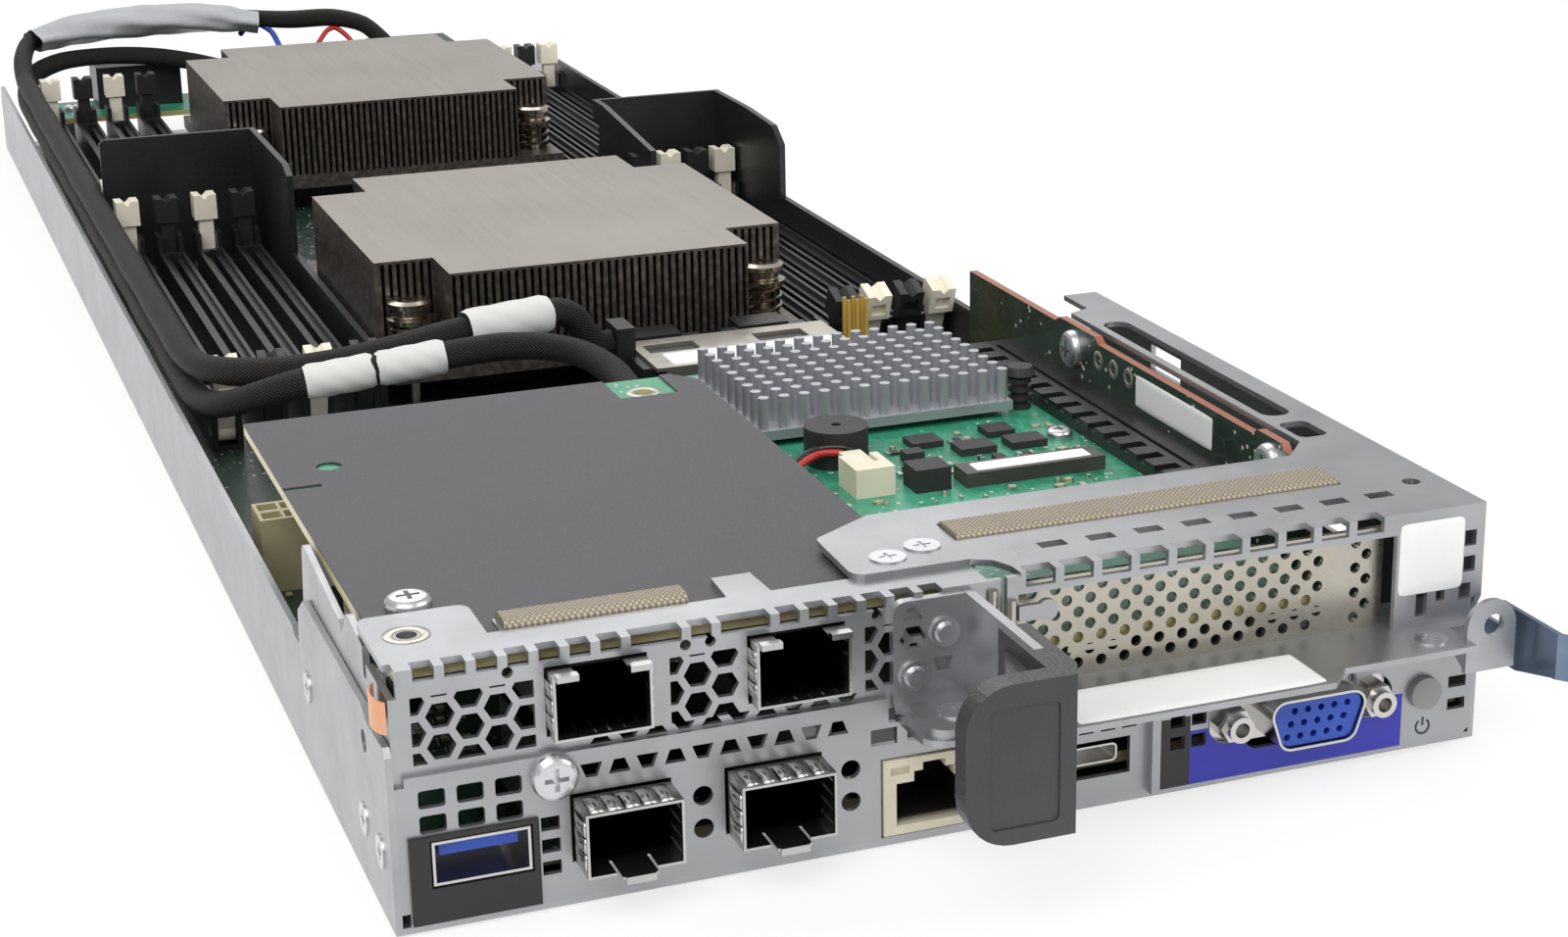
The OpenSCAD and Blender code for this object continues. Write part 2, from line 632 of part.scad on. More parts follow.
module handle_rivets() {
    color("lightsteelblue") sled() for (p = rivets) translate([p[0], mezz_face_y - handle_t, p[1]])
        rotate([90, 0, 0]) {
            cylinder(d = 4.6, h = 0.5, $fn = 32);
            translate([0, 0, 0.4]) cylinder(d1 = 3.4, d2 = 2.8, h = 1, $fn = 32);
            translate([0, 0, -handle_t]) cylinder(d = 2, h = handle_t + 0.3, $fn = 24);
        }
}

// Moulded finger plate on the end of the metal leg
module handle_grip() {
    front = -handle_reach;
    x1 = leg_x + 3.4;
    z0 = grip_z - grip_h / 2;
    z1 = grip_z + grip_h / 2;
    r = 7;
    color([0.2, 0.2, 0.21]) sled() difference() {
        union() {
            // Finger plate with large corners on its free side
            upright(front, grip_t) polygon(concat([[x1, z0], [x1, z1]],
                arc([x1 - grip_w + r, z1 - r], r, 90, 180, 8),
                arc([x1 - grip_w + r, z0 + r], r, 180, 270, 8)));
            // Sleeve over the metal leg
            box([leg_x - 1.2, x1], [front, -14.6], [z0 + 3.4, z1]);
            // Gusset webs between sleeve and plate
            for (z = [z0 + 3.4, z1 - 4.2]) level(z, 1.8) polygon([[leg_x - 1, -16],
                [leg_x - 1, front + grip_t - 1], [x1 - grip_w + 8, front + grip_t - 1],
                [x1 - grip_w + 8, front + grip_t + 1]]);
        }
        sideways(leg_x - 0.05, handle_t + 0.1) area([-24.1, 0], [22.4, sled_h]);
        // Shallow panel on the finger plate's face
        upright(front - 1, 1.3) round_area([x1 - grip_w + 3.6, x1 - 4], [z0 + 2.4, z1 - 3.4], 1);
        // Bevelled edge on the leg's side
        level(z0 - 1, grip_h + 2) polygon([[x1 - 1.6, front - 0.1], [x1 + 1, front - 0.1], [x1 + 1, front + 3.6],
            [x1, front + 3.6]]);
    }
}

// ---- Release latch ----

module latch_root() {
    y = [latch_l + 0.7, latch_l + 0.7 + latch_root_l];
    color("lightsteelblue") sled() {
        box([sled_w, sled_w + latch_t], y, latch_z + [0, -4]);
        for (k = [0.3, 0.75]) translate([sled_w + latch_t, mix(y[0], y[1], k), 16.2]) rotate([0, 90, 0])
            cylinder(d = 3.4, h = 0.6, $fn = 32);
    }
}

// Spring leaf that stands off the wall and ends in a finger tab beside the guard ear
module release_latch() {
    x0 = latch_x;
    x1 = latch_x + latch_out;
    t = latch_t;
    color("lightsteelblue") sled() difference() {
        union() {
            level(latch_z[0], latch_z[1] - latch_z[0]) polygon([[x0, latch_l], [x0 + t, latch_l],
                [x0 + t, latch_l - 5], [x1 + t, latch_l - 13], [x1 + t, latch_front + 2],
                [x1 + t + 1, latch_front + 0.4], [x1 + 1, latch_front], [x1, latch_front + 2],
                [x1, latch_l - 13.4], [x0, latch_l - 5.4]]);
            // Catch that hooks behind the chassis edge
            level(latch_z[0] + 1, 5) polygon([[x1 + t / 2, 3], [x1 + t / 2, 9], [x1 + t + 1, 9],
                [x1 + t, 3]]);
        }
        // The leaf is narrower behind the panel, and its tab slopes at the bottom
        box([x0 - 1, x1 + 4], [-1, latch_l + 1], [latch_z[1] - 4, latch_z[1] + 1]);
        sideways(x0 - 1, 8) polygon([[latch_front - 1, latch_z[0] - 1], [-6, latch_z[0] - 1],
            [-6, latch_z[0]], [latch_front + 3, latch_z[0] + 2.4], [latch_front - 1, latch_z[0] + 2.8]]);
    }
}

// ---- Fasteners ----

module case_screws() {
    color("lightgray") sled() {
        // Pan head on the lower panel
        translate([23.3, 0, 20.3]) rotate([90, 0, 0]) pan_screw(7, 2, 2.6, 3.4);
        // Pan head on the network card's corner
        translate([9.9, 26.4, mezz_plate_z]) pan_screw(7, 2, 2.6, insulator_t + card_t + 2);
        // Flat heads on the riser cage's ear, the shelf and the handle's flange
        for (p = ear_screws) translate([p[0], p[1], sled_h]) flat_screw(5.6, 2.4, 2 * sheet_t);
        translate([sled_w - 12.4, -5, wall_h]) flat_screw(5.6, 2.4, sheet_t + 1);
        translate([82, -5.2, wall_h + handle_t]) flat_screw(5.6, 2.4, handle_t + sheet_t);
        // Flat heads on the left wall
        for (p = [[6.8, 10], [17.9, 10.1], [58.8, 14.4]]) translate([0, p[0], p[1]])
            rotate([0, -90, 0]) flat_screw(5);
        // Pan heads that hold the riser board's upper edge
        for (y = [41.5, 117.6]) translate([riser_x, y, 35.2]) rotate([0, -90, 0]) pan_screw(7.4, 2.2);
        // Pan head on the add-in card
        translate([card_screw[0], card_screw[1], raid_z + card_t]) pan_screw(5, 1.6, 2.2, card_t);
    }
}

module board_screws() {
    color("lightgray") sled() {
        for (p = standoffs) translate([p[0], p[1], board_top]) pan_screw(5.4, 1.8, 2.4, board_t + 3);
        for (p = rear_posts) translate([p[0], p[1], rear_board_z + card_t])
            pan_screw(5.4, 1.8, 2.4, card_t + 3);
    }
}

// ---- Motherboard ----

module motherboard() {
    color("darkgreen") sled() difference() {
        level(board_z, board_t) polygon([[2.4, 3.4], [rj45_x[0] - 0.8, 3.4], [rj45_x[0] - 0.8, 25],
            [rj45_x[1] + 0.8, 25], [rj45_x[1] + 0.8, 3.4], [sled_w - 1.4, 3.4],
            [sled_w - 1.4, board_d], [2.4, board_d]]);
        for (p = standoffs) translate([p[0], p[1], 0]) cylinder(d = 3, h = 20, $fn = 24);
    }
}

// ---- Network card ----

module mezz_outline() {
    polygon([[mezz_x[0], mezz_y0], [mezz_x[1], mezz_y0], [mezz_x[1], mezz_y0 + mezz_d - 5],
        [mezz_x[1] - 4, mezz_y0 + mezz_d], [mezz_x[0], mezz_y0 + mezz_d]]);
}

module mezz_card() {
    color("seagreen") sled() difference() {
        level(mezz_card_z, card_t) mezz_outline();
        for (p = [[9.9, 26.4], [73, mezz_y0 + mezz_d - 8]]) translate([p[0], p[1], 0])
            cylinder(d = 3.2, h = 50, $fn = 24);
    }
}

// Sheet over the card, cut back round the rear mounting pad and over the left edge
module mezz_insulator() {
    y1 = mezz_y0 + mezz_d;
    color([0.33, 0.33, 0.35]) sled() difference() {
        level(mezz_card_z + card_t, insulator_t) difference() {
            mezz_outline();
            area([67.6, 78.4], [y1 - 11.6, y1 + 1]);
            area([0, 9], [y1 - 39, y1 - 37.6]);
            translate([12, y1 - 29]) circle(d = 4.2, $fn = 32);
        }
        translate([9.9, 26.4, 0]) cylinder(d = 3.2, h = 50, $fn = 24);
    }
}

module mezz_connector() {
    color([0.12, 0.12, 0.13]) sled() {
        box([22, 62], [84, 91], [board_top, mezz_card_z]);
        // Cable socket under the card's rear edge
        box([69, 83], [mezz_y0 + mezz_d - 12, 128.6], [mezz_card_z - 8, mezz_card_z]);
    }
}

// A transceiver cage, open at the front, slit into spring fingers round its mouth; its floor ends
// in a latch tab or in two flaps
module cage(flaps) {
    t = cage_t;
    slit = 0.4;
    mid = cage_w / 2;
    notch = flaps ? 3.7 : 3;
    difference() {
        box([0, cage_w], [0, cage_d], [0, cage_h]);
        box([t, cage_w - t], [-1, cage_d - 9], [t, cage_h - t]);
        for (k = [-2.5:2.5]) box([mid + 2.2 * k - slit / 2, mid + 2.2 * k + slit / 2], [0.8, 5.6],
            [cage_h - 1, cage_h + 1]);
        for (k = [-1.5:1.5]) box([-1, cage_w + 1], [0.8, 5.6],
            [cage_h / 2 + 2.2 * k - slit / 2, cage_h / 2 + 2.2 * k + slit / 2]);
        box([mid - notch, mid + notch], [-1, 4], [-1, t + 0.01]);
    }
    if (flaps) for (x = [[0.3, mid - notch], [mid + notch, cage_w - 0.3]]) box(x, [-1.4, 0.1], [-0.5, t]);
    else {
        box([mid - 2.6, mid + 2.6], [-1.6, 4], [0, t]);
        box([mid - 2.2, mid + 2.2], [-2, -1.5], [-0.7, t]);
    }
}

module sfp_cages_lower() {
    color("silver") sled() for (x = lower_cage_x) translate([x, lower_cage_y, board_top]) cage(false);
}

module sfp_cages_upper() {
    color("silver") sled() for (x = upper_cage_x) translate([x, upper_cage_y, upper_cage_z + cage_h])
        mirror([0, 0, 1]) cage(true);
}

// ---- Panel connectors ----

module usb_port() {
    t = 0.4;
    color("lightgray") sled() translate([usb_x - usb_w / 2, -0.4, board_top]) {
        difference() {
            box([0, usb_w], [0, 17], [0, usb_h]);
            box([t, usb_w - t], [-1, 12], [t, usb_h - t]);
        }
    }
}

module usb_bezel() {
    color([0.2, 0.2, 0.22]) sled() upright(-0.6, 0.6) difference() {
        area([2.4, 20.8], [1.2, 14.4]);
        area([usb_x - usb_w / 2 - fit_gap, usb_x + usb_w / 2 + fit_gap],
            [board_top - fit_gap, board_top + usb_h + fit_gap]);
    }
}

module rj45_jack() {
    x = rj45_x;
    z = rj45_z;
    m = (x[0] + x[1]) / 2;
    color("antiquewhite") sled() difference() {
        box(x, [-0.4, 21], z);
        // Plug cavity with the stepped keyway for the plug's clip
        upright(-1, 15) {
            area([m - 6, m + 6], [z[0] + 1.4, z[0] + 8.2]);
            area([m - 3.2, m + 3.2], [z[0] + 8, z[0] + 9.8]);
            area([m - 1.8, m + 1.8], [z[0] + 9.6, z[0] + 11]);
        }
        // Lamp windows
        for (s = [-1, 1]) upright(-1, 1.2) area([m + s * 5.4 - 1.5, m + s * 5.4 + 1.5],
            [z[1] - 2.4, z[1] - 1.2]);
    }
}

module micro_usb_port() {
    t = 0.3;
    w = 7.8;
    h = 3;
    color("lightgray") sled() translate([107.2 - w / 2, 0.6, board_top]) difference() {
        upright(0, 7) round_area([0, w], [0, h], 0.9);
        upright(-1, 6) round_area([t, w - t], [t, h - t], 0.6);
    }
}

// Outline of the video connector's shell: wide at the top, with round corners
module d_outline(w, h, r) {
    rim = concat(arc([w / 2 - r, h / 2 - r], r, 90, -10, 5), arc([w / 2 - r - 1.2, -h / 2 + r], r, -10, -90, 5),
        arc([-w / 2 + r + 1.2, -h / 2 + r], r, -90, -170, 5), arc([-w / 2 + r, h / 2 - r], r, 190, 90, 5));
    polygon(rim);
}

module vga_connector() {
    color("lightgray") sled() {
        difference() {
            translate([vga_x, 0, vga_z]) {
                upright(jog_y + sheet_t + 0.2, 0.8) area([-15.4, 15.4], [-4.2, 5]);
                upright(-7, 7) d_outline(16.4, 8.4, 2.4);
            }
            translate([vga_x, 0, vga_z]) upright(-8, 7.2) d_outline(15.6, 7.6, 2);
        }
        box([vga_x - 15.4, vga_x + 15.4], [0.4, 9], [board_top, vga_z + 5]);
    }
}

// Blue plastic inside the two ports: the USB tongue and the video connector's face
module port_inserts() {
    color("royalblue") sled() {
        translate([usb_x, 0, board_top]) box([-5.6, 5.6], [1.6, 11.6], [usb_h - 3, usb_h - 1.2]);
        difference() {
            translate([vga_x, 0, vga_z]) upright(-6.4, 5.6) d_outline(15.2, 7.2, 1.8);
            for (r = [-1:1], k = [0:4])
                translate([vga_x + 2.3 * (k - 2) + 0.6 * r, -7, vga_z + 2.1 * r])
                    rotate([-90, 0, 0]) cylinder(d = 1.1, h = 3.4, $fn = 16);
        }
    }
}

module vga_jackscrews() {
    color("silver") sled() for (s = [-1, 1]) translate([vga_x + s * vga_half, jog_y + sheet_t + 0.2, vga_z])
        rotate([90, 0, 0]) difference() {
            union() {
                cylinder(d = 5.6, h = 3.6, $fn = 6);
                cylinder(d = 4.2, h = 5.2, $fn = 32);
            }
            translate([0, 0, 1]) cylinder(d = 2.4, h = 5, $fn = 24);
        }
}

// Push button with a collar behind the panel
module power_button() {
    face = jog_y - 1.2;
    back = jog_y + sheet_t;
    color("gray") sled() translate([button_x, 0, button_z]) rotate([-90, 0, 0]) {
        translate([0, 0, face]) cylinder(d = button_d, h = back - face + 0.2, $fn = 40);
        translate([0, 0, back + 0.1]) cylinder(d = button_d + 1.4, h = 1, $fn = 40);
        translate([0, 0, back + 1]) cylinder(d = 3, h = 4, $fn = 32);
    }
}

module button_switch() {
    y = jog_y + sheet_t + 5 + button_travel + 0.3;
    color([0.15, 0.15, 0.16]) sled() box([button_x - 3.2, button_x + 3.2], [y, y + 4],
        [board_top, button_z + 3]);
}

// ---- Processors, coolers and memory ----

function cooler_mid(i) = [cooler_x, cooler_y + cooler_step * i];

module cpu_sockets() {
    w = 58;
    d = 66;
    color([0.16, 0.16, 0.17]) sled() for (i = [0, 1]) translate(cooler_mid(i)) difference() {
        box([-w / 2, w / 2], [-d / 2, d / 2], [board_top, board_top + 4.6]);
        box([-26.6, 26.6], [-23, 23], [board_top + 2, board_top + 9]);
    }
}

module cpu_packages() {
    color("lightgray") sled() for (i = [0, 1]) translate(cooler_mid(i)) {
        box([-26.2, 26.2], [-22.6, 22.6], [board_top + 2, board_top + 4]);
        box([-21, 21], [-19, 19], [board_top + 4, board_top + lid_h]);
    }
}

// Fin stack with a folded cap, its corners cut back round the four screws
module cooler() {
    w = cooler_w;
    d = cooler_d;
    fin_z = cooler_z + cooler_base_t;
    count = floor((w - fin_t) / fin_pitch);
    edge = (w - fin_t - count * fin_pitch) / 2;
    color([0.25, 0.24, 0.22]) difference() {
        box([-w / 2, w / 2], [-d / 2, d / 2], [cooler_z, cooler_top]);
        for (i = [0:count - 1]) box([-w / 2 + edge + fin_t + fin_pitch * i,
            -w / 2 + edge + fin_pitch * (i + 1)], [-d / 2 - 1, d / 2 + 1], [fin_z, cooler_top - cap_t]);
        for (sx = [-1, 1], sy = [-1, 1]) {
            translate([sx * w / 2, sy * d / 2, fin_z + 20]) cube([2 * notch_w, 2 * notch_d, 40], center = true);
            translate([sx * screw_pitch / 2, sy * screw_pitch / 2, cooler_z - 1])
                cylinder(d = 4, h = cooler_base_t + 2, $fn = 24);
        }
    }
}

module cpu_cooler_front() { sled() translate(cooler_mid(0)) cooler(); }
module cpu_cooler_rear() { sled() translate(cooler_mid(1)) cooler(); }

// Draws its children at each of a cooler's screws
module at_cooler_screws() {
    for (i = [0, 1], sx = [-1, 1], sy = [-1, 1])
        translate(cooler_mid(i) + screw_pitch / 2 * [sx, sy]) children();
}

module cooler_screws() {
    neck = screw_top - screw_head_h;
    color("silver") sled() at_cooler_screws() difference() {
        union() {
            translate([0, 0, board_top]) cylinder(d = 3.2, h = neck - board_top + 1, $fn = 24);
            translate([0, 0, neck]) rotate_extrude($fn = 32) polygon([[0, 0], [screw_head_d / 2, 0],
                [screw_head_d / 2, 1], [screw_head_d * 0.36, 1.6], [screw_head_d * 0.36, 3],
                [screw_head_d * 0.46, 3.4], [screw_head_d * 0.46, 4.4], [screw_head_d * 0.36, screw_head_h],
                [0, screw_head_h]]);
        }
        translate([0, 0, screw_top]) cross_recess(4.4, 1.8);
    }
}

// Coil spring between a cooler's base and the head of its screw
module cooler_springs() {
    wire = 0.9;
    z0 = cooler_z + cooler_base_t + wire / 2;
    z1 = screw_top - screw_head_h - wire / 2;
    turns = 3;
    steps = 10;
    r = screw_head_d / 2 - 1;
    route = [for (i = [0:turns * steps]) let (a = 360 * i / steps)
        [r * cos(a), r * sin(a), mix(z0, z1, i / (turns * steps))]];
    color("silver") sled() at_cooler_screws() tube(route, wire / 2 - 0.02, 6);
}

// A memory socket along Y with an open tower at each end
module dimm_socket() {
    l = dimm_l / 2;
    w = dimm_w / 2;
    z = board_top;
    for (s = [0, 1]) mirror([0, s, 0]) difference() {
        union() {
            box([-w, w], [0, l], [z, z + dimm_h]);
            box([-w, w], [l, l + tower_l], [z, z + tower_h]);
        }
        box([-0.8, 0.8], [-1, l - 2], [z + 2.4, z + dimm_h + 1]);
        box([-w + 0.9, w - 0.9], [-1, l - 3], [z + dimm_h - 1.2, z + dimm_h + 1]);
        box([-cheek_gap / 2, cheek_gap / 2], [l - 0.4, l + tower_l + 1], [z + 1, z + tower_h + 1]);
        translate([-w - 1, l + pivot_out, z + pivot_h]) rotate([0, 90, 0])
            cylinder(r = pivot_r + run_gap, h = 2 * w + 2, $fn = 32);
    }
}

function bank_x() = concat([for (k = [0:dimm_count - 1]) dimm_left_x + k * dimm_pitch_left],
    [for (k = [0:dimm_count - 1]) dimm_right_x + k * dimm_pitch_right]);

module dimm_bank(i) {
    color([0.13, 0.13, 0.14]) sled() for (x = bank_x()) translate([x, bank_y[i], 0]) dimm_socket();
}

module dimm_sockets_front() { dimm_bank(0); }
module dimm_sockets_rear() { dimm_bank(1); }

// An ejector about its pivot, upright and shut; it leans towards +Y to open
module ejector() {
    w = cheek_gap / 2 - 0.2;
    top = ejector_h - pivot_h;
    head = 2.8;
    notch = 1.6;
    difference() {
        union() {
            rotate([0, 90, 0]) cylinder(r = 2.2, h = 2 * w, center = true, $fn = 32);
            rotate([0, 90, 0]) cylinder(r = pivot_r, h = dimm_w - 0.1, center = true, $fn = 32);
            box([-w, w], [-1.6, 1.6], [0, top - 4]);
            box([-w, w], [-3.8, 0], [-2, -0.6]);
            box([-head, head], [-2.2, 3.2], [top - 6.2, top]);
        }
        // Finger notch across the top and the recess in the outer face
        translate([0, 0, top]) rotate([0, 45, 0]) cube([notch, 12, notch], center = true);
        box([-1.7, 1.7], [2.2, 4], [top - 5, top - 2.2]);
    }
}

// The ejectors at one end of a bank, which all share one pivot line
module ejector_row(bank, rear) {
    side = rear ? 1 : -1;
    color("ivory") sled() for (x = bank_x())
        translate([x, bank_y[bank] + side * (dimm_l / 2 + pivot_out), board_top + pivot_h])
            rotate([0, 0, rear ? 0 : 180]) rotate([rear ? 0 : -front_lean, 0, 0]) ejector();
}

module ejectors_1() { ejector_row(0, false); }
module ejectors_2() { ejector_row(0, true); }
module ejectors_3() { ejector_row(1, false); }
module ejectors_4() { ejector_row(1, true); }

// Moulded wall across the left bank; its cheek runs forward beside the cooler and goes on as a rail
module air_baffle_left() {
    x = [8, cooler_x - cooler_w / 2 - 1];
    cheek_x = x[1] - baffle_t;
    rear = cooler_y + cooler_d / 2;
    color([0.1, 0.1, 0.11]) sled() {
        upright(baffle_y, baffle_t) polygon([[x[0], board_top], [x[1], board_top], [x[1], baffle_top],
            [x[0] + 1, baffle_top], [x[0], baffle_top - 1]]);
        sideways(cheek_x, baffle_t) polygon([[baffle_y, board_top], [baffle_y, baffle_top],
            [rear + 8, baffle_top], [rear + 3, baffle_top - 2], [rear + 3, rail_z],
            [cooler_y - cooler_d / 2 + 4, rail_z], [cooler_y - cooler_d / 2 + 4, board_top]]);
        for (xr = [16, 34]) box([xr, xr + 1.5], [baffle_y + baffle_t, baffle_y + baffle_t + 2],
            [board_top, baffle_top - 6]);
    }
}

// Moulded wall across the right bank that runs on along the side wall as a low rail
module air_baffle_right() {
    side_x = sled_w - sheet_t - 0.2 - baffle_t;
    low = wall_h + 1.4;
    ramp = cooler_y + cooler_d / 2 + 2;
    mid_x = cooler_x + cooler_w / 2 - 1;
    color([0.1, 0.1, 0.11]) sled() {
        upright(baffle_y, baffle_t) area([mid_x, side_x + baffle_t], [board_top, baffle_top]);
        sideways(mid_x - baffle_t, baffle_t) polygon([[baffle_y + baffle_t, baffle_top - 6],
            [baffle_y + baffle_t, baffle_top], [baffle_y - 8, baffle_top], [ramp + 2, baffle_top - 4],
            [ramp + 2, baffle_top - 8]]);
        sideways(side_x, baffle_t) polygon([[176, board_top], [176, low], [ramp, low],
            [ramp, baffle_top - 5], [ramp + 6, baffle_top - 1], [baffle_y - 26, baffle_top],
            [baffle_y, baffle_top],
            [baffle_y + 8, low], [board_d, low], [board_d, board_top]]);
    }
}

// ---- Riser and add-in card ----

module riser_board() {
    top = cage_plate_z - 0.3;
    high = sled_h - 0.2;
    low = board_top + 2.2;
    color([0.1, 0.12, 0.1]) sled() sideways(riser_x, card_t) polygon([[30, low], [148, low],
        [148, low + 5], [168.4, low + 5], [168.4, top], [127, top], [125, high], [109.6, high],
        [108, top], [48.6, top], [47, high], [39, high], [38, top], [30, top]]);
}

// Edge connector on the riser's face, ribbed along its top, with a groove for the card
module riser_slot() {
    x = [riser_x - riser_slot_d, riser_x];
    mid = raid_z + card_t / 2;
    y = riser_slot_y;
    rib = 6.6;
    color([0.13, 0.13, 0.14]) sled() difference() {
        box(x, y, [mid - 3.8, mid + 3.8]);
        box([x[0] - 1, x[1] - 2.6], [y[0] + 2, y[1] - 2], [raid_z - 0.1, raid_z + card_t + 0.1]);
        for (k = [0:12]) box([x[0] - 1, x[0] + 4.2], [y[0] + 3 + rib * k, y[0] + 5.8 + rib * k],
            [mid + 2.8, mid + 5]);
        box([x[0] + 5.6, x[0] + 6.6], [y[0] + 3, y[1] - 3], [mid + 3, mid + 5]);
    }
}

module raid_card() {
    x1 = riser_x - riser_slot_d;
    color("seagreen") sled() difference() {
        level(raid_z, card_t) {
            area([raid_x0, x1 - 0.4], [raid_y0, raid_y0 + raid_d]);
            area([x1 - 1, riser_x - 3], [riser_slot_y[0] + 2.6, riser_slot_y[1] - 2.6]);
        }
        translate([card_screw[0], card_screw[1], 0]) cylinder(d = 2.8, h = 50, $fn = 24);
    }
}

// Cast heat sink with a field of round pins
module raid_heat_sink() {
    x = [raid_x0 + 3, riser_x - 18];
    y = [107, 145];
    z = raid_z + card_t;
    columns = 13;
    rows = 9;
    color("lightsteelblue") sled() {
        box([x[0] + 12, x[1] - 12], [y[0] + 6, y[1] - 6], [z, z + 1.4]);
        box(x, y, [z + 1.4, z + 3.2]);
        for (i = [0:columns - 1], j = [0:rows - 1])
            translate([mix(x[0] + 1.6, x[1] - 1.6, i / (columns - 1)),
                mix(y[0] + 1.6, y[1] - 1.6, j / (rows - 1)), z + 3.2]) cylinder(d = 2, h = 6, $fn = 16);
    }
}

module card_connectors() {
    z = raid_z + card_t;
    color("ivory") sled() {
        // Battery header with its plug
        difference() {
            box([97.8, 105], [74.4, 83], [z, z + 5.2]);
            box([99.2, 103.6], [78.4, 84], [z + 1.4, z + 7]);
        }
        box([99.4, 103.4], [78.6, 87], [z + 1.6, z + 4.6]);
        // Low flat connector for a daughter card
        box([117.6, 144.2], [72.4, 78.4], [z, z + 2.6]);
    }
}

// Chips, coils and capacitors, as [x, y, width, depth, height] on the add-in card
card_parts = [[120, 98, 6, 5, 1.2], [135, 99, 5.4, 5, 1.2], [127, 91, 7, 5, 1.4], [137, 91, 7, 5, 1.4],
    [114.6, 90, 3.6, 3, 2], [111.6, 76, 6.6, 6, 4.2], [112, 84, 3, 2, 1], [129, 84, 2, 3, 1]];
// The same for the motherboard's left front corner and the strip between the coolers
board_parts = [[9, 96, 7, 6, 3], [15, 88, 5, 5, 2], [12, 110, 6, 4, 5], [19, 104, 4, 6, 3],
    [10, 74, 5, 5, 2], [17, 66, 6, 6, 3], [92, 340, 10, 10, 5], [112, 342, 10, 10, 5],
    [72, 344, 10, 10, 5], [118, 36, 9, 9, 2], [110, 60, 20, 20, 3], [28, 150, 8, 8, 4]];

module chips() {
    color([0.12, 0.12, 0.13]) sled() {
        for (p = card_parts) translate([p[0], p[1], raid_z + card_t])
            box([-p[2] / 2, p[2] / 2], [-p[3] / 2, p[3] / 2], [0, p[4]]);
        // Sounder with its port
        translate([102.2, 95.6, raid_z + card_t]) difference() {
            cylinder(d = 11.6, h = 6.8, $fn = 48);
            translate([0, 0, 5.8]) cylinder(d = 1.8, h = 2, $fn = 24);
        }
        // Sprung push pin at the heat sink's corner
        translate([riser_x - 14.4, 112, raid_z + card_t]) {
            for (k = [0:3]) translate([0, 0, 1.7 * k]) cylinder(r = 2.2, h = 0.9, $fn = 24);
            cylinder(r = 1.6, h = 7, $fn = 24);
            translate([0, 0, 6.6]) cylinder(r1 = 2.9, r2 = 2.4, h = 1.6, $fn = 32);
        }
        for (p = board_parts) translate([p[0], p[1], board_top])
            box([-p[2] / 2, p[2] / 2], [-p[3] / 2, p[3] / 2], [0, p[4]]);
    }
}

// ---- Connectors on the motherboard ----

module riser_socket() {
    color([0.13, 0.13, 0.14]) sled() difference() {
        box([riser_x - 3, riser_x + card_t + 3], [58, 150], [board_top, board_top + 8]);
        box([riser_x - 0.1, riser_x + card_t + 0.1], [28, 151], [board_top + 2.1, board_top + 9]);
    }
}

// Four-way power socket with square cavities
module power_socket() {
    x = [4, 12.8];
    y = [122, 131.8];
    top = board_top + 13.6;
    cell = 3.4;
    color("darkkhaki") sled() difference() {
        box(x, y, [board_top, top]);
        for (cx = [x[0] + 2.4, x[1] - 2.4], cy = [y[0] + 2.6, y[1] - 2.6])
            box([cx - cell / 2, cx + cell / 2], [cy - cell / 2, cy + cell / 2], [top - 9, top + 1]);
    }
}

// Two drive-cable plugs side by side in their ports, under one retaining frame
module drive_ports() {
    color([0.14, 0.14, 0.16]) sled() {
        for (x = [90, 114]) {
            box([x, x + 21], [174, 196], [board_top, board_top + 6]);
            box([x + 1, x + 20], [176, 199], [board_top + 6, board_top + 16.4]);
            box([x + 5, x + 16], [197, 205], [board_top + 13, board_top + 17]);
        }
        // Boot of the left plug, where its cable leaves
        box([88.6, 92.4], [185.6, 194.4], [board_top + 13, board_top + 22.6]);
    }
}

module port_frame() {
    z = board_top + 16.4;
    color("antiquewhite") sled() {
        level(z, 0.8) difference() {
            area([93, 136.4], [172.8, 194]);
            for (x = [95, 119]) area([x, x + 11], [184, 190]);
        }
        for (x = [95, 119]) box([x, x + 11], [172.8, 173.8], [board_top, z + 0.4]);
    }
}

// Tall pin header beside the drive ports
module pin_headers() {
    z = board_top;
    y = 190.5;
    color("goldenrod") sled() {
        box([140.8, 147], [y, y + 5.4], [z, z + 10]);
        for (i = [0:2], j = [0:1]) box([141.6 + 2 * i, 142.3 + 2 * i], [y + 1 + 2.6 * j, y + 1.7 + 2.6 * j],
            [z + 10, z + 21.6]);
    }
}

// ---- Rear ----

module midplane_board() {
    y = rear_board_y;
    color("darkgreen") sled() difference() {
        level(rear_board_z, card_t) area([14, 158], y);
        for (p = rear_posts) translate([p[0], p[1], 0]) cylinder(d = 3, h = 30, $fn = 24);
    }
}

// Blind-mate housings at the rear edge and the cable plugs on the board
module midplane_connectors() {
    z = rear_board_z + card_t;
    y1 = sled_d;
    color([0.1, 0.1, 0.11]) sled() {
        for (x = [80, 128]) box([x, x + 16], [y1 - 31.5, y1 - 23.5], [z, z + 14]);
        for (x = [28, 118]) difference() {
            box([x, x + 26], [y1 - 20, y1], [z, z + 13]);
            for (k = [0:5]) box([x + 2.4 + 3.8 * k, x + 4 + 3.8 * k], [y1 - 9, y1 + 1], [z + 2, z + 11]);
        }
        difference() {
            box([64, 106], [y1 - 18, y1 - 2], [z, z + 9]);
            for (k = [0:4]) box([67 + 7.6 * k, 71.6 + 7.6 * k], [y1 - 12, y1], [z + 2.6, z + 6.2]);
        }
    }
}

// ---- Cables ----

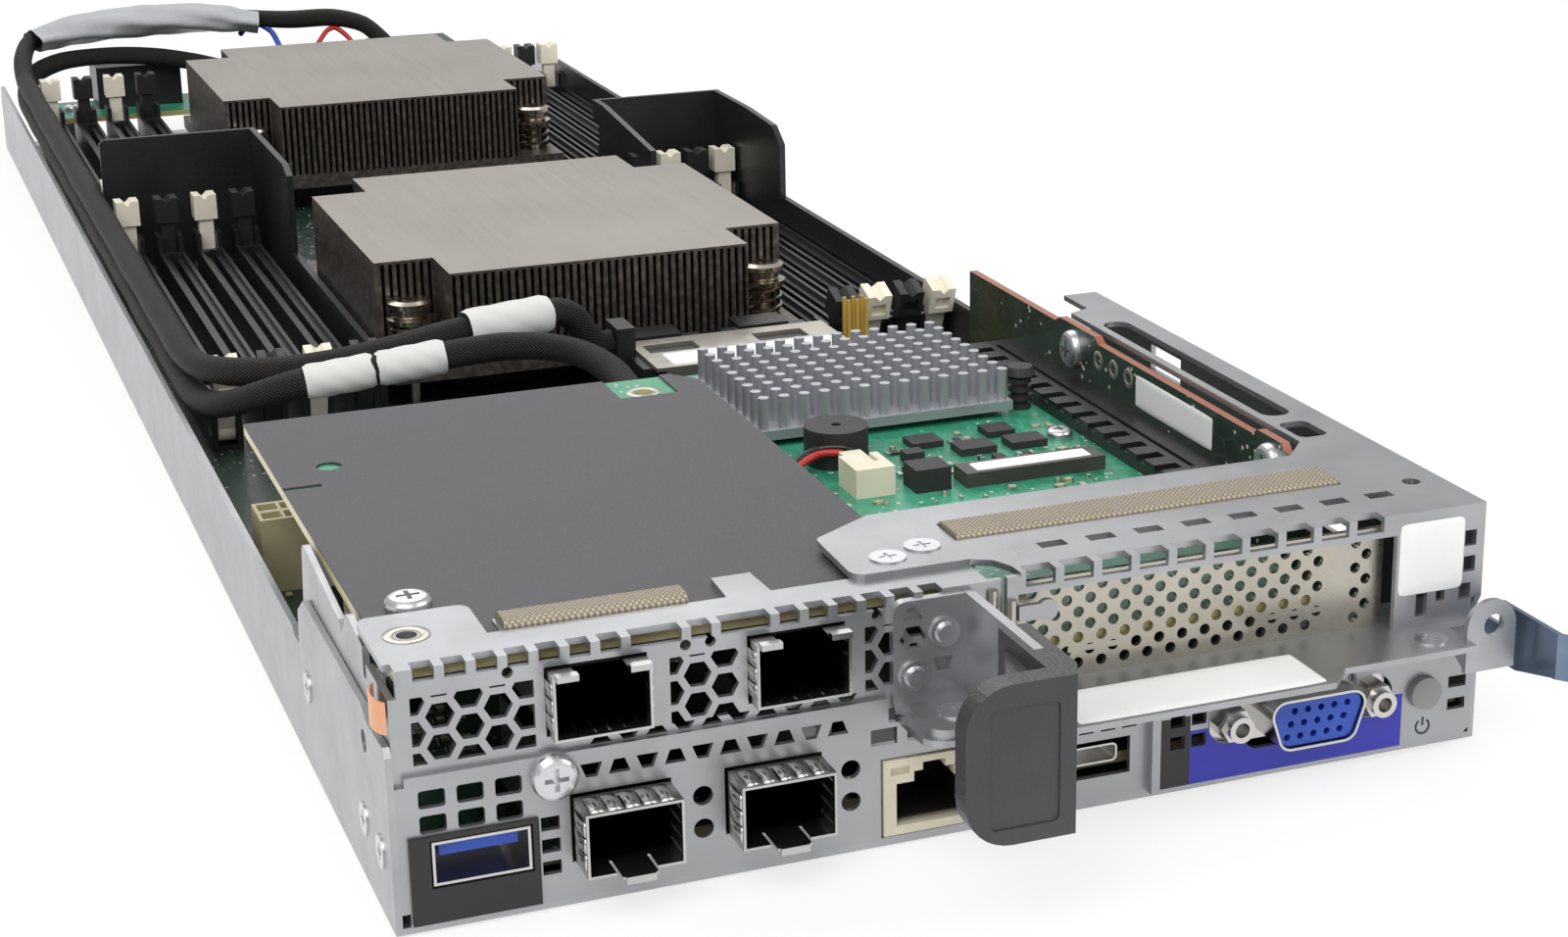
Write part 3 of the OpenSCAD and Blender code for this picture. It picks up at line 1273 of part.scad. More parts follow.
module cable_loom() { color([0.12, 0.12, 0.12]) sled() tube(cable_a, cable_a_r); }
module cable_loom_front() { color([0.12, 0.12, 0.12]) sled() tube(cable_b, cable_b_r); }

module cable_sleeves() {
    color("whitesmoke") sled() for (s = sleeves) difference() {
        tube([s[1], s[2]], s[0] + fit_gap + s[3]);
        tube([s[1] - unit(s[2] - s[1]), s[2] + unit(s[2] - s[1])], s[0] + fit_gap);
    }
}

base_tray();
io_panel();
mezz_bracket();
riser_cage();
shelf_bracket();
pcie_bracket();
emi_gaskets();
contact_finger();
handle_bracket();
handle_grip();
handle_rivets();
latch_root();
release_latch();
case_screws();
board_screws();
motherboard();
mezz_card();
mezz_insulator();
mezz_connector();
sfp_cages_lower();
sfp_cages_upper();
usb_port();
usb_bezel();
rj45_jack();
micro_usb_port();
vga_connector();
port_inserts();
vga_jackscrews();
power_button();
button_switch();
cpu_sockets();
cpu_packages();
cpu_cooler_front();
cpu_cooler_rear();
cooler_screws();
cooler_springs();
dimm_sockets_front();
dimm_sockets_rear();
ejectors_1();
ejectors_2();
ejectors_3();
ejectors_4();
air_baffle_left();
air_baffle_right();
riser_board();
riser_slot();
riser_socket();
raid_card();
raid_heat_sink();
card_connectors();
chips();
power_socket();
drive_ports();
port_frame();
pin_headers();
midplane_board();
midplane_connectors();
cable_loom();
cable_loom_front();
cable_sleeves();
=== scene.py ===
"""Looks of a half-width server sled: finishes, cables, plates, small board parts and the studio."""

import logging
import math
from dataclasses import dataclass
from enum import Enum

import bpy
import numpy as np
from mathutils import Matrix, Vector


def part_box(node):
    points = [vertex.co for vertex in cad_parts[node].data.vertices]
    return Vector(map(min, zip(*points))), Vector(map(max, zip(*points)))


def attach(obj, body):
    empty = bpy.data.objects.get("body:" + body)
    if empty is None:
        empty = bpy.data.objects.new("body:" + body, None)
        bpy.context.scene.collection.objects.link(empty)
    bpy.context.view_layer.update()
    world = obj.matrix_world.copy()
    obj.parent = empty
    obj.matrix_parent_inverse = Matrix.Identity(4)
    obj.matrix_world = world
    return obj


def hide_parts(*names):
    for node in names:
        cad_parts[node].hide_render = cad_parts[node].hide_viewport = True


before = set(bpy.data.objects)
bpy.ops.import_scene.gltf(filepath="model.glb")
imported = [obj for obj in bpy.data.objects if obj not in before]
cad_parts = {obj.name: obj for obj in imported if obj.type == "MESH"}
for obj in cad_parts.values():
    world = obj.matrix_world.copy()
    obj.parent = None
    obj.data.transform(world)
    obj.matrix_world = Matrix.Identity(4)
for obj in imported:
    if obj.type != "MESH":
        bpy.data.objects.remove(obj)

LOG = logging.getLogger("sled")
MM = 0.001
SLED_WIDTH = 174.4
SLED_DEPTH = 574.5
Colour = tuple[float, float, float]
Point = tuple[float, float, float]


def sled(points: np.ndarray) -> np.ndarray:
    """Turns millimetres from the tray's front-left corner into metres in the row's frame.

    Args:
        points: array of (x, y, z) rows in millimetres.

    Returns:
        The same rows in metres, from the centre of the tray's underside.
    """
    shift = np.array([SLED_WIDTH / 2, SLED_DEPTH / 2, 0.0])
    return (np.asarray(points, float) - shift) * MM


class Side(Enum):
    """The way that a flat piece faces."""

    FRONT = (0, 2)
    TOP = (0, 1)
    LEFT = (1, 2)


# ---- Shader building ----


class ShaderSheet:
    """A material's node tree with short methods for the nodes that the finishes share."""

    def __init__(self, name: str) -> None:
        """Starts an empty material of this name."""
        self.material = bpy.data.materials.new(name)
        self.material.use_nodes = True
        self.tree = self.material.node_tree
        self.tree.nodes.clear()
        self.output = self.tree.nodes.new("ShaderNodeOutputMaterial")
        self.place = self.tree.nodes.new("ShaderNodeTexCoord")

    def link(self, source: bpy.types.NodeSocket, target: bpy.types.NodeSocket) -> None:
        """Joins two sockets."""
        self.tree.links.new(source, target)

    def feed(self, socket: bpy.types.NodeSocket, value: object) -> None:
        """Sets a socket to a number, a colour or another node's socket."""
        if isinstance(value, bpy.types.NodeSocket):
            self.link(value, socket)
        elif isinstance(value, tuple) and len(value) == 3 and socket.type == "RGBA":
            socket.default_value = (*value, 1.0)
        else:
            socket.default_value = value

    def spot(self) -> bpy.types.NodeSocket:
        """Returns the object coordinates."""
        return self.place.outputs["Object"]

    def chart(self) -> bpy.types.NodeSocket:
        """Returns the piece's own UV map."""
        return self.place.outputs["UV"]

    def scaled(self, by: Point, source: bpy.types.NodeSocket | None = None) -> bpy.types.NodeSocket:
        """Returns coordinates multiplied by three factors.

        Args:
            by: factor along each axis.
            source: coordinates to multiply; object coordinates if left out.

        Returns:
            The scaled coordinates.
        """
        node = self.tree.nodes.new("ShaderNodeMapping")
        node.inputs["Scale"].default_value = by
        self.link(source or self.spot(), node.inputs["Vector"])
        return node.outputs["Vector"]

    def noise(
        self, scale: float, detail: float = 3.0, source: bpy.types.NodeSocket | None = None
    ) -> bpy.types.NodeSocket:
        """Returns a smooth noise value of the given fineness."""
        node = self.tree.nodes.new("ShaderNodeTexNoise")
        node.inputs["Scale"].default_value = scale
        node.inputs["Detail"].default_value = detail
        self.link(source or self.spot(), node.inputs["Vector"])
        return node.outputs["Fac"]

    def cells(
        self, scale: float, edge: bool = False, source: bpy.types.NodeSocket | None = None
    ) -> bpy.types.NodeSocket:
        """Returns the distance to a cell's centre, or to its edge."""
        node = self.tree.nodes.new("ShaderNodeTexVoronoi")
        node.feature = "DISTANCE_TO_EDGE" if edge else "F1"
        node.inputs["Scale"].default_value = scale
        self.link(source or self.spot(), node.inputs["Vector"])
        return node.outputs["Distance"]

    def maths(self, kind: str, a: object, b: object = 0.0) -> bpy.types.NodeSocket:
        """Returns one sum, product, sine or comparison of two values."""
        node = self.tree.nodes.new("ShaderNodeMath")
        node.operation = kind
        self.feed(node.inputs[0], a)
        self.feed(node.inputs[1], b)
        return node.outputs[0]

    def part(self, source: bpy.types.NodeSocket, axis: str) -> bpy.types.NodeSocket:
        """Returns one component of a vector."""
        node = self.tree.nodes.new("ShaderNodeSeparateXYZ")
        self.link(source, node.inputs[0])
        return node.outputs[axis]

    def facing(self, axis: str) -> bpy.types.NodeSocket:
        """Returns how far the surface faces along an axis, from 0 to 1."""
        node = self.tree.nodes.new("ShaderNodeNewGeometry")
        return self.maths("ABSOLUTE", self.part(node.outputs["True Normal"], axis))

    def ramp(
        self, value: bpy.types.NodeSocket, stops: list[tuple[float, Colour]], hard: bool = False
    ) -> bpy.types.NodeSocket:
        """Returns a colour picked by a value between stops.

        Args:
            value: the value that picks.
            stops: (place, colour) pairs, in rising order.
            hard: whether the colour jumps at each stop.

        Returns:
            The colour.
        """
        node = self.tree.nodes.new("ShaderNodeValToRGB")
        node.color_ramp.interpolation = "CONSTANT" if hard else "LINEAR"
        elements = node.color_ramp.elements
        while len(elements) < len(stops):
            elements.new(0.5)
        for element, (at, colour) in zip(elements, stops):
            element.position = at
            element.color = (*colour, 1.0)
        self.link(value, node.inputs[0])
        return node.outputs["Color"]

    def blend(self, share: object, a: object, b: object) -> bpy.types.NodeSocket:
        """Returns colour a where share is 0 and colour b where it is 1."""
        node = self.tree.nodes.new("ShaderNodeMix")
        node.data_type = "RGBA"
        self.feed(node.inputs[0], share)
        self.feed(node.inputs[6], a)
        self.feed(node.inputs[7], b)
        return node.outputs[2]

    def span(self, value: bpy.types.NodeSocket, low: float, high: float) -> bpy.types.NodeSocket:
        """Returns a 0 to 1 value stretched between two limits."""
        node = self.tree.nodes.new("ShaderNodeMapRange")
        self.link(value, node.inputs[0])
        node.inputs[3].default_value = low
        node.inputs[4].default_value = high
        return node.outputs[0]

    def bump(
        self, height: bpy.types.NodeSocket, depth: float, strength: float = 1.0
    ) -> bpy.types.NodeSocket:
        """Returns a normal that follows a height, with depth in metres."""
        node = self.tree.nodes.new("ShaderNodeBump")
        node.inputs["Strength"].default_value = strength
        node.inputs["Distance"].default_value = depth
        self.link(height, node.inputs["Height"])
        return node.outputs["Normal"]

    def surface(
        self, colour: object, roughness: object, metallic: float = 0.0,
        normal: bpy.types.NodeSocket | None = None, coat: float = 0.0, specular: float = 0.5
    ) -> bpy.types.Material:
        """Ends the tree in one surface shader.

        Args:
            colour: a colour or a colour socket.
            roughness: a number or a value socket.
            metallic: 0 for plastic, 1 for metal.
            normal: a bumped normal.
            coat: weight of a clear coat.
            specular: strength of the plain reflection.

        Returns:
            The finished material.
        """
        node = self.tree.nodes.new("ShaderNodeBsdfPrincipled")
        self.feed(node.inputs["Base Color"], colour)
        self.feed(node.inputs["Roughness"], roughness)
        self.feed(node.inputs["Metallic"], metallic)
        node.inputs["Coat Weight"].default_value = coat
        node.inputs["Specular IOR Level"].default_value = specular
        if normal is not None:
            self.link(normal, node.inputs["Normal"])
        self.link(node.outputs["BSDF"], self.output.inputs["Surface"])
        return self.material


# ---- Finishes ----


@dataclass(frozen=True)
class SheetMetal:
    """Rolled sheet with a fine grain and faint clouds."""

    name: str
    colour: Colour
    roughness: float = 0.38
    metallic: float = 0.85
    grain: float = 2600.0
    depth: float = 0.00002
    cloud: float = 0.12

    def material(self) -> bpy.types.Material:
        """Builds the sheet: colour = base x clouds, height = stretched fine noise."""
        sheet = ShaderSheet(self.name)
        clouds = sheet.noise(70.0, 4.0)
        low = tuple(c * (1 - self.cloud) for c in self.colour)
        high = tuple(min(1.0, c * (1 + self.cloud * 0.6)) for c in self.colour)
        colour = sheet.ramp(clouds, [(0.3, low), (0.7, high)])
        grain = sheet.noise(self.grain, 2.0, sheet.scaled((1.0, 0.35, 1.0)))
        rough = sheet.span(sheet.noise(240.0), self.roughness - 0.07, self.roughness + 0.07)
        return sheet.surface(colour, rough, self.metallic, sheet.bump(grain, self.depth))


@dataclass(frozen=True)
class HollowShell:
    """Plated or moulded shell whose inside darkens with depth behind the mouth as painted shade."""

    name: str
    colour: Colour
    node: str
    start: float = 0.6
    # colour of the painted shade deep inside the hollow
    painted_shade: Colour = (0.012, 0.012, 0.013)
    fall: float = 2.4
    roughness: float = 0.26
    metallic: float = 1.0

    def material(self) -> bpy.types.Material:
        """Builds the shell: share of painted shade = (y - front - start) / fall behind the node's front."""
        sheet = ShaderSheet(self.name)
        y = sheet.part(sheet.spot(), "Y")
        shade_share = sheet.maths(
            "DIVIDE", sheet.maths("SUBTRACT", y, float(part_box(self.node)[0][1]) + self.start * MM),
            self.fall * MM
        )
        node = sheet.tree.nodes.new("ShaderNodeClamp")
        sheet.link(shade_share, node.inputs[0])
        clouds = sheet.ramp(
            sheet.noise(90.0), [(0.3, tuple(c * 0.85 for c in self.colour)), (0.7, self.colour)]
        )
        # painted shade: behind the mouth the colour turns to the shade colour, standing in for the shadow
        # inside the hollow
        colour = sheet.blend(node.outputs[0], clouds, self.painted_shade)
        grain = sheet.noise(2600.0, 2.0, sheet.scaled((1.0, 0.35, 1.0)))
        return sheet.surface(colour, self.roughness, self.metallic, sheet.bump(grain, 0.00002))


@dataclass(frozen=True)
class PrintedPanel:
    """Sheet steel with a blue and a black field printed under the connectors."""

    name: str
    base: SheetMetal
    face: float = -1.55
    blue_field: tuple[float, float, float, float] = (122.4, 159.8, 1.6, 10.5)
    black_field: tuple[float, float, float, float] = (117.4, 122.4, 1.6, 13.0)

    def inside(self, sheet: ShaderSheet, field: tuple[float, float, float, float]) -> bpy.types.NodeSocket:
        """Returns 1 within a field's x and z limits on the panel's outer face."""
        spot = sheet.spot()
        x, y, z = (sheet.part(spot, axis) for axis in "XYZ")
        share = sheet.maths("LESS_THAN", y, (self.face - SLED_DEPTH / 2) * MM)
        share = sheet.maths(
            "MULTIPLY", share, sheet.maths("GREATER_THAN", x, (field[0] - SLED_WIDTH / 2) * MM)
        )
        share = sheet.maths(
            "MULTIPLY", share, sheet.maths("LESS_THAN", x, (field[1] - SLED_WIDTH / 2) * MM)
        )
        share = sheet.maths("MULTIPLY", share, sheet.maths("GREATER_THAN", z, field[2] * MM))
        return sheet.maths("MULTIPLY", share, sheet.maths("LESS_THAN", z, field[3] * MM))

    def material(self) -> bpy.types.Material:
        """Builds the panel: sheet colour, then blue and black where the fields lie."""
        sheet = ShaderSheet(self.name)
        base = self.base
        clouds = sheet.ramp(
            sheet.noise(70.0, 4.0), [(0.3, tuple(c * 0.88 for c in base.colour)), (0.7, base.colour)]
        )
        blue = self.inside(sheet, self.blue_field)
        black = self.inside(sheet, self.black_field)
        colour = sheet.blend(black, sheet.blend(blue, clouds, (0.03, 0.035, 0.42)), (0.02, 0.02, 0.022))
        bare = sheet.maths("SUBTRACT", 1.0, sheet.maths("MAXIMUM", blue, black))
        metal = sheet.maths("MULTIPLY", bare, base.metallic)
        grain = sheet.noise(base.grain, 2.0, sheet.scaled((1.0, 0.35, 1.0)))
        return sheet.surface(colour, 0.38, metal, sheet.bump(grain, base.depth))


@dataclass(frozen=True)
class Moulding:
    """Moulded plastic with a spark-eroded grain."""

    name: str
    colour: Colour
    roughness: float = 0.5
    grain: float = 1800.0
    depth: float = 0.00003
    shade: float = 0.15

    def material(self) -> bpy.types.Material:
        """Builds the plastic: height = small cells plus noise, colour varied by slow noise."""
        sheet = ShaderSheet(self.name)
        slow = sheet.noise(55.0, 3.0)
        low = tuple(c * (1 - self.shade) for c in self.colour)
        high = tuple(min(1.0, c * (1 + self.shade)) for c in self.colour)
        colour = sheet.ramp(slow, [(0.35, low), (0.65, high)])
        height = sheet.maths("ADD", sheet.cells(self.grain), sheet.noise(self.grain * 0.5, 2.0))
        rough = sheet.span(slow, self.roughness - 0.06, self.roughness + 0.06)
        return sheet.surface(colour, rough, 0.0, sheet.bump(height, self.depth))


@dataclass(frozen=True)
class CircuitBoard:
    """Solder mask over traces and pads, with the bare laminate on the edges."""

    name: str
    mask: Colour
    trace: Colour
    edge: Colour
    face: str = "Z"
    pads: float = 0.2

    def material(self) -> bpy.types.Material:
        """Builds the board: thin lines at cell edges are traces, small cell centres are vias."""
        sheet = ShaderSheet(self.name)
        lines = sheet.maths(
            "LESS_THAN", sheet.cells(330.0, edge=True, source=sheet.scaled((1.0, 0.5, 0.8))), 0.05
        )
        colour = sheet.blend(
            sheet.maths("MULTIPLY", lines, 0.6),
            sheet.ramp(sheet.noise(90.0), [(0.35, self.mask), (0.7, self.trace)]), self.trace
        )
        vias = sheet.maths("LESS_THAN", sheet.cells(520.0), self.pads)
        sparse = sheet.maths("GREATER_THAN", sheet.noise(130.0, 1.0), 0.52)
        dots = sheet.maths("MULTIPLY", vias, sparse)
        colour = sheet.blend(dots, colour, (0.62, 0.6, 0.5))
        flat = sheet.maths("GREATER_THAN", sheet.facing(self.face), 0.5)
        colour = sheet.blend(flat, self.edge, colour)
        rough = sheet.span(sheet.maths("ADD", dots, lines), 0.34, 0.46)
        return sheet.surface(colour, rough, 0.0, sheet.bump(lines, 0.00002, 0.6), coat=0.15)


@dataclass(frozen=True)
class FinStack:
    """Dark fin edges, painted with the shade of the gaps between the fins, with a pale folded cap above
    them.
    """

    name: str
    cap: Colour
    fin: Colour

    def material(self) -> bpy.types.Material:
        """Builds the cooler: faces that look up and lie high are cap, all others are fins, whose dark
        colour is painted shade between the fins.
        """
        sheet = ShaderSheet(self.name)
        up = sheet.maths("GREATER_THAN", sheet.facing("Z"), 0.7)
        high = sheet.maths("GREATER_THAN", sheet.part(sheet.spot(), "Z"), 0.0363)
        cap = sheet.maths("MULTIPLY", up, high)
        brushed = sheet.noise(900.0, 3.0, sheet.scaled((1.0, 0.04, 1.0)))
        shade = sheet.ramp(
            sheet.noise(24.0, 2.0), [(0.35, tuple(c * 0.88 for c in self.cap)), (0.7, self.cap)]
        )
        # fin faces: the dark fin colour is partly the metal's edges, partly painted shade in the gaps
        # between the fins
        edge = sheet.ramp(
            sheet.noise(600.0, 1.0), [(0.4, self.fin), (0.75, tuple(c * 2.2 for c in self.fin))]
        )
        colour = sheet.blend(cap, edge, shade)
        return sheet.surface(colour, sheet.span(brushed, 0.28, 0.46), 0.75, sheet.bump(brushed, 0.00002))


@dataclass(frozen=True)
class PairedPlastic:
    """Ejectors: ivory on the first socket of each channel, black on the next."""

    name: str
    ivory: Colour
    black: Colour
    ivory_at: tuple[float, ...]

    def material(self) -> bpy.types.Material:
        """Builds the two-tone row: ivory where |x - socket| is under 3.4 mm for a first socket."""
        sheet = ShaderSheet(self.name)
        x = sheet.part(sheet.spot(), "X")
        total = None
        for at in self.ivory_at:
            off = sheet.maths("ABSOLUTE", sheet.maths("SUBTRACT", x, (at - SLED_WIDTH / 2) * MM))
            near = sheet.maths("LESS_THAN", off, 0.0034)
            total = near if total is None else sheet.maths("MAXIMUM", total, near)
        colour = sheet.blend(
            total, self.black,
            sheet.ramp(sheet.noise(160.0), [(0.3, tuple(c * 0.9 for c in self.ivory)), (0.7, self.ivory)])
        )
        return sheet.surface(colour, 0.42, 0.0, sheet.bump(sheet.noise(1400.0, 2.0), 0.00003))


@dataclass(frozen=True)
class SplitPlastic:
    """Card sockets: one plastic left of a line, another right of it."""

    name: str
    left: Colour
    right: Colour
    line: float

    def material(self) -> bpy.types.Material:
        """Builds the two plastics: the right one where x is past the line, both slightly mottled."""
        sheet = ShaderSheet(self.name)
        past = sheet.maths("GREATER_THAN", sheet.part(sheet.spot(), "X"), (self.line - SLED_WIDTH / 2) * MM)
        mottle = sheet.noise(160.0)
        left = sheet.ramp(mottle, [(0.3, tuple(c * 0.88 for c in self.left)), (0.7, self.left)])
        right = sheet.ramp(mottle, [(0.3, tuple(c * 0.7 for c in self.right)), (0.7, self.right)])
        return sheet.surface(
            sheet.blend(past, left, right), 0.42, 0.0, sheet.bump(sheet.noise(1400.0, 2.0), 0.00003)
        )


@dataclass(frozen=True)
class Weave:
    """Cloth or braid whose threads follow the piece's own chart."""

    name: str
    colour: Colour
    # colour of the painted shade in the gaps between threads, also used for random darker patches
    dark: Colour
    across: float
    along: float
    depth: float = 0.0001
    roughness: float = 0.75
    metallic: float = 0.0
    on_chart: bool = True

    def material(self) -> bpy.types.Material:
        """Builds the weave: height = |sin(a u + b v) sin(a u - b v)|, colour darkens in the gaps as painted
        shade between the threads.
        """
        sheet = ShaderSheet(self.name)
        source = sheet.chart() if self.on_chart else sheet.spot()
        u = sheet.maths("MULTIPLY", sheet.part(source, "X"), self.along * math.tau)
        v = sheet.maths("MULTIPLY", sheet.part(source, "Y"), self.across * math.tau)
        one = sheet.maths("SINE", sheet.maths("ADD", u, v))
        two = sheet.maths("SINE", sheet.maths("SUBTRACT", u, v))
        height = sheet.maths("ABSOLUTE", sheet.maths("MULTIPLY", one, two))
        # painted shade: the gaps between the threads take the dark colour
        colour = sheet.blend(height, self.dark, self.colour)
        colour = sheet.blend(sheet.span(sheet.noise(120.0), 0.0, 0.25), colour, self.dark)
        return sheet.surface(
            colour, self.roughness, self.metallic, sheet.bump(height, self.depth, 0.8), specular=0.25
        )


class Finishes:
    """The finish of each CAD node and of each new piece, built once."""

    def __init__(self) -> None:
        """Names every finish and the nodes that carry it."""
        self.steel = SheetMetal("zinc_sheet", (0.43, 0.435, 0.45), 0.36, 0.85)
        self.panel = PrintedPanel("printed_panel", self.steel)
        # the cages' insides carry painted shade starting 6.6 mm (lower) and 2.4 mm (upper) behind the mouth
        self.lower_cage = HollowShell("lower_cage_shell", (0.58, 0.58, 0.57), "sfp_cages_lower", 6.6)
        self.upper_cage = HollowShell("upper_cage_shell", (0.58, 0.58, 0.57), "sfp_cages_upper", 2.4)
        self.bright = SheetMetal("bright_nickel", (0.62, 0.61, 0.59), 0.22, 1.0, cloud=0.05)
        self.screw = SheetMetal("plated_screw", (0.66, 0.67, 0.69), 0.28, 0.95, cloud=0.08)
        self.warm_screw = SheetMetal("cooler_screw_nickel", (0.62, 0.56, 0.48), 0.2, 1.0, cloud=0.1)
        self.bracket = SheetMetal("card_bracket_nickel", (0.5, 0.47, 0.4), 0.27, 0.95, cloud=0.1)
        self.frame = SheetMetal("port_frame_nickel", (0.6, 0.57, 0.5), 0.3, 0.9)
        self.blued = SheetMetal("latch_blued_zinc", (0.22, 0.29, 0.4), 0.26, 0.85, cloud=0.45)
        self.copper = SheetMetal("contact_copper", (0.83, 0.43, 0.25), 0.32, 0.9)
        self.cast = SheetMetal("pin_fin_aluminium", (0.47, 0.48, 0.51), 0.42, 0.7, cloud=0.06)
        self.black = Moulding("black_housing", (0.013, 0.013, 0.014), 0.36)
        self.chip = Moulding("chip_epoxy", (0.025, 0.024, 0.024), 0.55)
        self.handle = Moulding("handle_grain", (0.042, 0.042, 0.045), 0.42, grain=1500.0, depth=0.00006)
        self.film = Moulding(
            "insulating_film", (0.052, 0.05, 0.056), 0.5, grain=2400.0, depth=0.00005, shade=0.08
        )
        # the jack's inside carries painted shade in the given dark colour, starting 0.8 mm behind its mouth
        self.jack = HollowShell(
            "jack_shell", (0.7, 0.64, 0.5), "rj45_jack", 0.8, (0.02, 0.017, 0.015), 2.0, 0.38, 0.0
        )
        self.card_sockets = SplitPlastic("card_sockets", (0.8, 0.74, 0.58), (0.06, 0.056, 0.05), 112.0)
        self.tan = Moulding("tan_nylon", (0.47, 0.41, 0.25), 0.5)
        self.blue = Moulding("port_blue", (0.02, 0.07, 0.42), 0.35)
        self.gold = Moulding("header_gold", (0.5, 0.33, 0.07), 0.35)
        self.paper = Moulding(
            "bare_label", (0.82, 0.82, 0.81), 0.5, grain=3000.0, depth=0.00001, shade=0.03
        )
        self.ink = Moulding("black_mark", (0.02, 0.02, 0.02), 0.5)
        self.button = Moulding("button_grey", (0.27, 0.26, 0.25), 0.4)
        self.green = CircuitBoard("card_green", (0.02, 0.2, 0.11), (0.05, 0.33, 0.2), (0.5, 0.44, 0.2))
        self.yellow_edge = CircuitBoard(
            "network_card_board", (0.02, 0.2, 0.11), (0.06, 0.34, 0.18), (0.56, 0.5, 0.27)
        )
        # the near-black mask is partly the board's own dark colour, partly painted shade for the dark
        # region under the cables
        self.main = CircuitBoard("main_board", (0.012, 0.03, 0.022), (0.03, 0.06, 0.045), (0.3, 0.26, 0.14))
        self.riser = CircuitBoard(
            "riser_board_mask", (0.01, 0.02, 0.013), (0.02, 0.045, 0.03), (0.33, 0.11, 0.06), face="X"
        )
        # second colour: fin sides, dark as painted shade between the fins
        self.cooler = FinStack("cooler_plating", (0.35, 0.32, 0.285), (0.1, 0.085, 0.075))
        self.ejector = PairedPlastic(
            "ejector_pairs", (0.83, 0.78, 0.64), (0.016, 0.016, 0.017), (11.4, 30.4, 152.8, 168.0)
        )
        self.gasket = Weave(
            "gasket_cloth", (0.55, 0.48, 0.38), (0.22, 0.19, 0.14), 0.55 / MM, 0.55 / MM, 0.00015, 0.45,
            0.5, on_chart=False
        )
        self.braid = Weave(
            "braided_sleeve", (0.028, 0.026, 0.024), (0.005, 0.0045, 0.004), 12.0, 0.55, 0.00025, 0.55
        )
        self.tape = Weave(
            "white_cloth_tape", (0.84, 0.84, 0.82), (0.62, 0.62, 0.6), 40.0, 2.0, 0.00004, 0.6
        )
        self.wrap = Weave(
            "silver_cloth", (0.62, 0.63, 0.65), (0.36, 0.37, 0.39), 30.0, 1.4, 0.0001, 0.4, 0.5
        )
        self.nodes: dict[str, object] = {
            "io_panel": self.panel, "sfp_cages_lower": self.lower_cage, "sfp_cages_upper": self.upper_cage,
            **dict.fromkeys(
                ("base_tray", "mezz_bracket", "riser_cage", "shelf_bracket", "handle_bracket"), self.steel
            ),
            **dict.fromkeys(("usb_port", "micro_usb_port", "vga_connector", "vga_jackscrews"), self.bright),
            **dict.fromkeys(("case_screws", "board_screws", "handle_rivets"), self.screw),
            **dict.fromkeys(("cooler_screws", "cooler_springs"), self.warm_screw),
            **dict.fromkeys(("latch_root", "release_latch"), self.blued),
            **dict.fromkeys(
                (
                    "usb_bezel", "mezz_connector", "cpu_sockets", "dimm_sockets_front", "dimm_sockets_rear",
                    "air_baffle_left", "air_baffle_right", "riser_slot", "riser_socket", "drive_ports",
                    "midplane_connectors", "button_switch"
                ),
                self.black
            ),
            **dict.fromkeys(("ejectors_1", "ejectors_2", "ejectors_3", "ejectors_4"), self.ejector),
            **dict.fromkeys(("cpu_cooler_front", "cpu_cooler_rear"), self.cooler),
            "pcie_bracket": self.bracket, "port_frame": self.frame, "contact_finger": self.copper,
            "emi_gaskets": self.gasket, "handle_grip": self.handle, "power_button": self.button,
            "motherboard": self.main, "mezz_card": self.yellow_edge, "mezz_insulator": self.film,
            "rj45_jack": self.jack, "port_inserts": self.blue, "cpu_packages": self.cast,
            "riser_board": self.riser, "raid_card": self.green, "raid_heat_sink": self.cast,
            "card_connectors": self.card_sockets, "chips": self.chip, "power_socket": self.tan,
            "pin_headers": self.gold, "midplane_board": self.green, "cable_loom": self.braid,
            "cable_loom_front": self.braid, "cable_sleeves": self.tape,
        }
        self.made: dict[str, bpy.types.Material] = {}

    def get(self, finish: object) -> bpy.types.Material:
        """Returns a finish's material, made on first use."""
        if finish.name not in self.made:
            self.made[finish.name] = finish.material()
        return self.made[finish.name]

    def dress_nodes(self) -> None:
        """Gives every CAD node its finish."""
        for name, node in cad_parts.items():
            node.data.materials.clear()
            node.data.materials.append(self.get(self.nodes[name]))
        LOG.info("dressed %d solids", len(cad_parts))


# ---- Surfaces ----


def patch(
    name: str, points: np.ndarray, closed: bool = False, chart: np.ndarray | None = None
) -> bpy.types.Object:
    """Makes a mesh from a grid of points.

    Args:
        name: the piece's name.
        points: array of rows x columns x 3, in metres.
        closed: whether the last column joins the first.
        chart: array of rows x (columns + 1 if closed else columns) x 2 for the UV map.

    Returns:
        The new object, linked to the scene.
    """
    rows, columns = points.shape[:2]
    across = columns if closed else columns - 1
    i, j = np.meshgrid(np.arange(rows - 1), np.arange(across), indexing="ij")
    k = (j + 1) % columns
    faces = np.stack(
        [i * columns + j, i * columns + k, (i + 1) * columns + k, (i + 1) * columns + j], -1
    ).reshape(-1, 4)
    mesh = bpy.data.meshes.new(name)
    mesh.from_pydata(points.reshape(-1, 3).tolist(), [], faces.tolist())
    if chart is not None:
        corners = np.stack([chart[i, j], chart[i, j + 1], chart[i + 1, j + 1], chart[i + 1, j]], -2)
        mesh.uv_layers.new(name="chart").data.foreach_set("uv", corners.reshape(-1).astype(np.float32))
    return shown(name, mesh)


def shown(name: str, mesh: bpy.types.Mesh, smooth: bool = True) -> bpy.types.Object:
    """Links a mesh to the scene as a named object at the origin."""
    mesh.polygons.foreach_set("use_smooth", np.full(len(mesh.polygons), smooth))
    mesh.update()
    piece = bpy.data.objects.new(name, mesh)
    bpy.context.scene.collection.objects.link(piece)
    return piece


